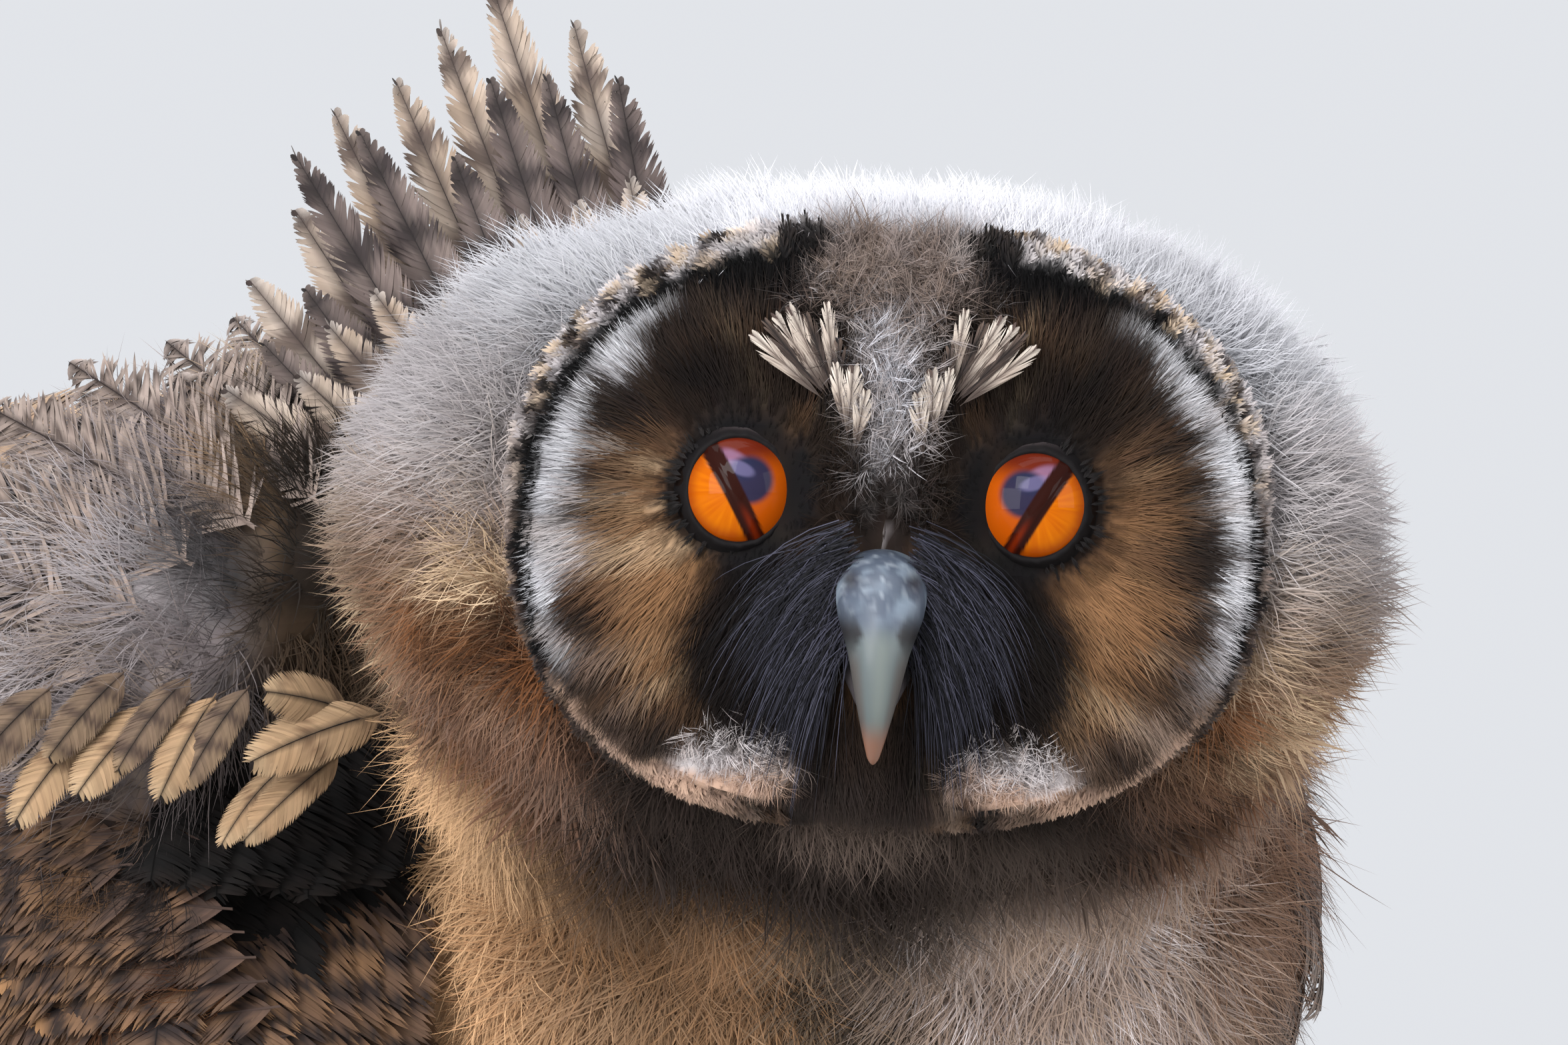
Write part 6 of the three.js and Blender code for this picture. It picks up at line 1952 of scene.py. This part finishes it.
bill_paint = paint_by("bill", "stain", 0.5, Coat_Weight=0.15, Coat_Roughness=0.3, Specular_IOR_Level=0.25)
bill_points, bill_faces = limb([
    ((0, -29, -8), BILL_HALF_WIDTH, 6.6, 4),
    ((0, -37.5, -8.2), BILL_HALF_WIDTH, 6.3, 4.2),
    ((0, -43, -11), BILL_HALF_WIDTH * 0.93, 5.2, 4.2),
    ((0, -45.8, -16), BILL_HALF_WIDTH * 0.66, 4.1, 3.6),
    ((0, -45.6, -21.5), BILL_HALF_WIDTH * 0.44, 2.9, 2.6),
    ((0, -43.6, -26), BILL_HALF_WIDTH * 0.24, 1.6, 1.4),
    ((0, -42, -29), 0.5, 0.5, 0.5),
], around=72, rings=90, closing=(0.02, 0.06))
to_nostril = np.hypot(np.abs(bill_points[:, 0]) - NOSTRIL_SIDE, bill_points[:, 2] - NOSTRIL_HEIGHT)
pit = bump(to_nostril, 0.9) * (bill_points[:, 1] < -38)
bill_points = bill_points + columns(0, 0.9 * pit, 0)
stained_piece(
    "bill", from_head(bill_points), bill_faces, bill_colours(bill_points), bill_paint, "bill", "bill_upper",
)
lower_points, lower_faces = limb([
    ((0, -28, -17), 4.4, 2.6, 3),
    ((0, -35, -18.5), 4, 2.2, 2.8),
    ((0, -40, -21.5), 2.6, 1.6, 2),
    ((0, -41.5, -25), 0.8, 0.6, 0.8),
], around=40, rings=40, closing=(0.02, 0.15))
lower_colours = np.tile(srgb(50, 46, 48), (len(lower_points), 1))
stained_piece(
    "bill_below", from_head(lower_points), lower_faces, lower_colours, bill_paint, "bill", "bill_lower",
)

# %% [markdown]
# Each toe ends in a curved black talon that wraps on round the perch. Toe and talon are placed by the
# angle from the top of the branch, forward for the front toes and back for the others.

# %% Model the talons
PERCH_HEIGHT, PERCH_RADIUS, PERCH_LENGTH = 58, 13, 150
TARSUS_SIDE, TOE_RADIUS, TALON_LENGTH, GAP = 20, 3.9, 14, 0.36
TOE_REACH = PERCH_RADIUS + GAP + TOE_RADIUS + 0.3
TOES = {
    # forward or back, inward or outward, and the angle from the top of the perch where the toe ends
    "front_inner": (1, -1, 78),
    "front_outer": (1, 1, 72),
    "back_inner": (-1, -1, 56),
    "back_outer": (-1, 1, 62),
}


def wrap_place(side, way, splay, turn, reach):
    """A place round the perch, by the angle from its top and the distance from its middle."""
    angle = math.radians(turn)
    across = side * TARSUS_SIDE + splay * (2.5 + 0.1 * turn)
    return np.array([across, -way * reach * math.sin(angle), PERCH_HEIGHT + reach * math.cos(angle)])


def talon_form(side, way, splay, end):
    """A talon that goes on from where its toe ends and tapers to a point."""
    stations = []
    for share, half in zip((-6, 0, 0.34, 0.68, 1), (2, 2, 1.5, 0.95, 0.3)):
        turn = end - 9 if share < 0 else end + share * math.degrees(TALON_LENGTH / TOE_REACH)
        reach = TOE_REACH - 0.6 - 1.3 * max(share, 0)
        stations.append((wrap_place(side, way, side * splay, turn, reach), half, half, half))
    return limb(stations, around=20, rings=26, closing=(0.05, 0.08))


talon_paint = paint("talon", (30, 27, 27), 0.3, Coat_Weight=0.3, Coat_Roughness=0.2)
for side, hand in SIDES:
    for toe, (way, splay, end) in TOES.items():
        points, faces = talon_form(side, way, splay, end)
        talon = mesh_piece(f"claw_{hand}_{toe}", points, faces, talon_paint)
        finish_piece(talon, "talon", f"talon_{hand}_{toe}")

# %% [markdown]
# The perch is a cut length of branch. Its bark is ridged along the branch and crossed by fine cracks,
# and the sawn ends show rings of growth.

# %% Model the perch
PERCH_RINGS, PERCH_AROUND = 140, 90


def perch_radius(along, angle):
    """The bark's distance from the perch's middle, with its ridges and its plates."""
    around = columns(6 * np.cos(angle), 6 * np.sin(angle), along / 9)
    ridges = np.abs(cloud(around, 1.6, 101))
    plates = cloud(around * np.array([1, 1, 2.2]), 0.9, 103)
    return PERCH_RADIUS - 0.35 - 0.45 * (1 + np.sin(along / 17)) - 0.9 * ridges - 0.3 * plates, ridges, plates


angle = np.linspace(0, 2 * np.pi, PERCH_AROUND, endpoint=False)
rings, stains = [], []
end_steps = [0.12, 0.3, 0.5, 0.7, 0.88, 0.97]
for along, inset in (
    [(-PERCH_LENGTH / 2, inset) for inset in end_steps]
    + [(along, 1) for along in np.linspace(-PERCH_LENGTH / 2, PERCH_LENGTH / 2, PERCH_RINGS)]
    + [(PERCH_LENGTH / 2, inset) for inset in end_steps[::-1]]
):
    radius, ridges, plates = perch_radius(np.full(len(angle), along), angle)
    radius = radius * inset
    rings.append(columns(along, radius * np.cos(angle), PERCH_HEIGHT + radius * np.sin(angle)))
    bark = Canvas(srgb(126, 112, 100), len(angle))
    bark.lay(srgb(72, 60, 52), step(ridges, 0.12, 0.02))
    bark.lay(srgb(158, 148, 132), step(plates, 0.15, 0.6) * 0.7)
    wood = np.tile(srgb(186, 156, 116) * (0.85 + 0.15 * math.cos(inset * 60)), (len(angle), 1))
    stains.append(wood if inset < 0.9 else bark.colours)
stains = np.vstack([stains[0][:1], *stains, stains[-1][:1]])
bark_paint = paint_by("bark", "stain", 0.9, Specular_IOR_Level=0.2)
stained_piece("perch", *loft(rings), stains, bark_paint, "bark", "perch_branch")

# %% [markdown]
# The stand is a turned disc of dark wood with a rounded edge, and two steel rods hold the perch. The
# wood's grain is a stretched noise on the object's own coordinates.

# %% Model the stand
BASE_RADIUS, BASE_THICKNESS, EDGE_RADIUS, ROD_RADIUS, ROD_SPACING = 92, 12, 2, 3.5, 92
SHARP_ANGLE = math.radians(40)


def wood_paint():
    """Dark wood with a stretched grain."""
    material = paint("stand_wood", (92, 60, 38), 0.6, Specular_IOR_Level=0.25)
    nodes, links = material.node_tree.nodes, material.node_tree.links
    place = nodes.new("ShaderNodeTexCoord")
    stretch = nodes.new("ShaderNodeMapping")
    stretch.inputs["Scale"].default_value = (8, 90, 60)
    grain = nodes.new("ShaderNodeTexNoise")
    grain.inputs["Scale"].default_value = 2.0
    grain.inputs["Detail"].default_value = 6.0
    ramp = nodes.new("ShaderNodeValToRGB")
    ramp.color_ramp.elements[0].position = 0.3
    ramp.color_ramp.elements[0].color = (*srgb(72, 44, 28), 1)
    ramp.color_ramp.elements[1].position = 0.7
    ramp.color_ramp.elements[1].color = (*srgb(122, 82, 54), 1)
    links.new(place.outputs["Object"], stretch.inputs["Vector"])
    links.new(stretch.outputs["Vector"], grain.inputs["Vector"])
    links.new(grain.outputs["Fac"], ramp.inputs["Fac"])
    links.new(ramp.outputs["Color"], nodes["Principled BSDF"].inputs["Base Color"])
    return material


def turned(profile, around, middle=(0, 0)):
    """A solid of revolution about an upright line. The profile's radii and heights go from below to above."""
    angle = np.linspace(0, 2 * np.pi, around, endpoint=False)
    x, y = np.cos(angle), np.sin(angle)
    return loft([columns(middle[0] + r * x, middle[1] + r * y, z) for r, z in profile])


base_profile = [(BASE_RADIUS * 0.98, 0), (BASE_RADIUS, 0.6)]
for turn in np.radians(range(0, 91, 15)):
    out, up = EDGE_RADIUS * math.cos(turn), EDGE_RADIUS * math.sin(turn)
    base_profile.append((BASE_RADIUS - EDGE_RADIUS + out, BASE_THICKNESS - EDGE_RADIUS + up))
base_profile += [(BASE_RADIUS * share, BASE_THICKNESS) for share in (0.9, 0.6, 0.3, 0.05)]
base = mesh_piece("base", *turned(base_profile, 160), wood_paint())
base.data.set_sharp_from_angle(angle=SHARP_ANGLE)
finish_piece(base, "stand_wood", "stand_base")
steel = paint("steel", (170, 172, 176), 0.3, Metallic=1.0)
rod_foot, rod_top = BASE_THICKNESS + GAP, PERCH_HEIGHT - PERCH_RADIUS + 2
for side, hand in SIDES:
    profile = [(ROD_RADIUS, rod_foot), (ROD_RADIUS, (rod_foot + rod_top) / 2), (ROD_RADIUS, rod_top)]
    rod = mesh_piece("rod_" + hand, *turned(profile, 40, (side * ROD_SPACING / 2, 0)), steel)
    rod.data.set_sharp_from_angle(angle=SHARP_ANGLE)
    finish_piece(rod, "steel", "stand_rod_" + hand)
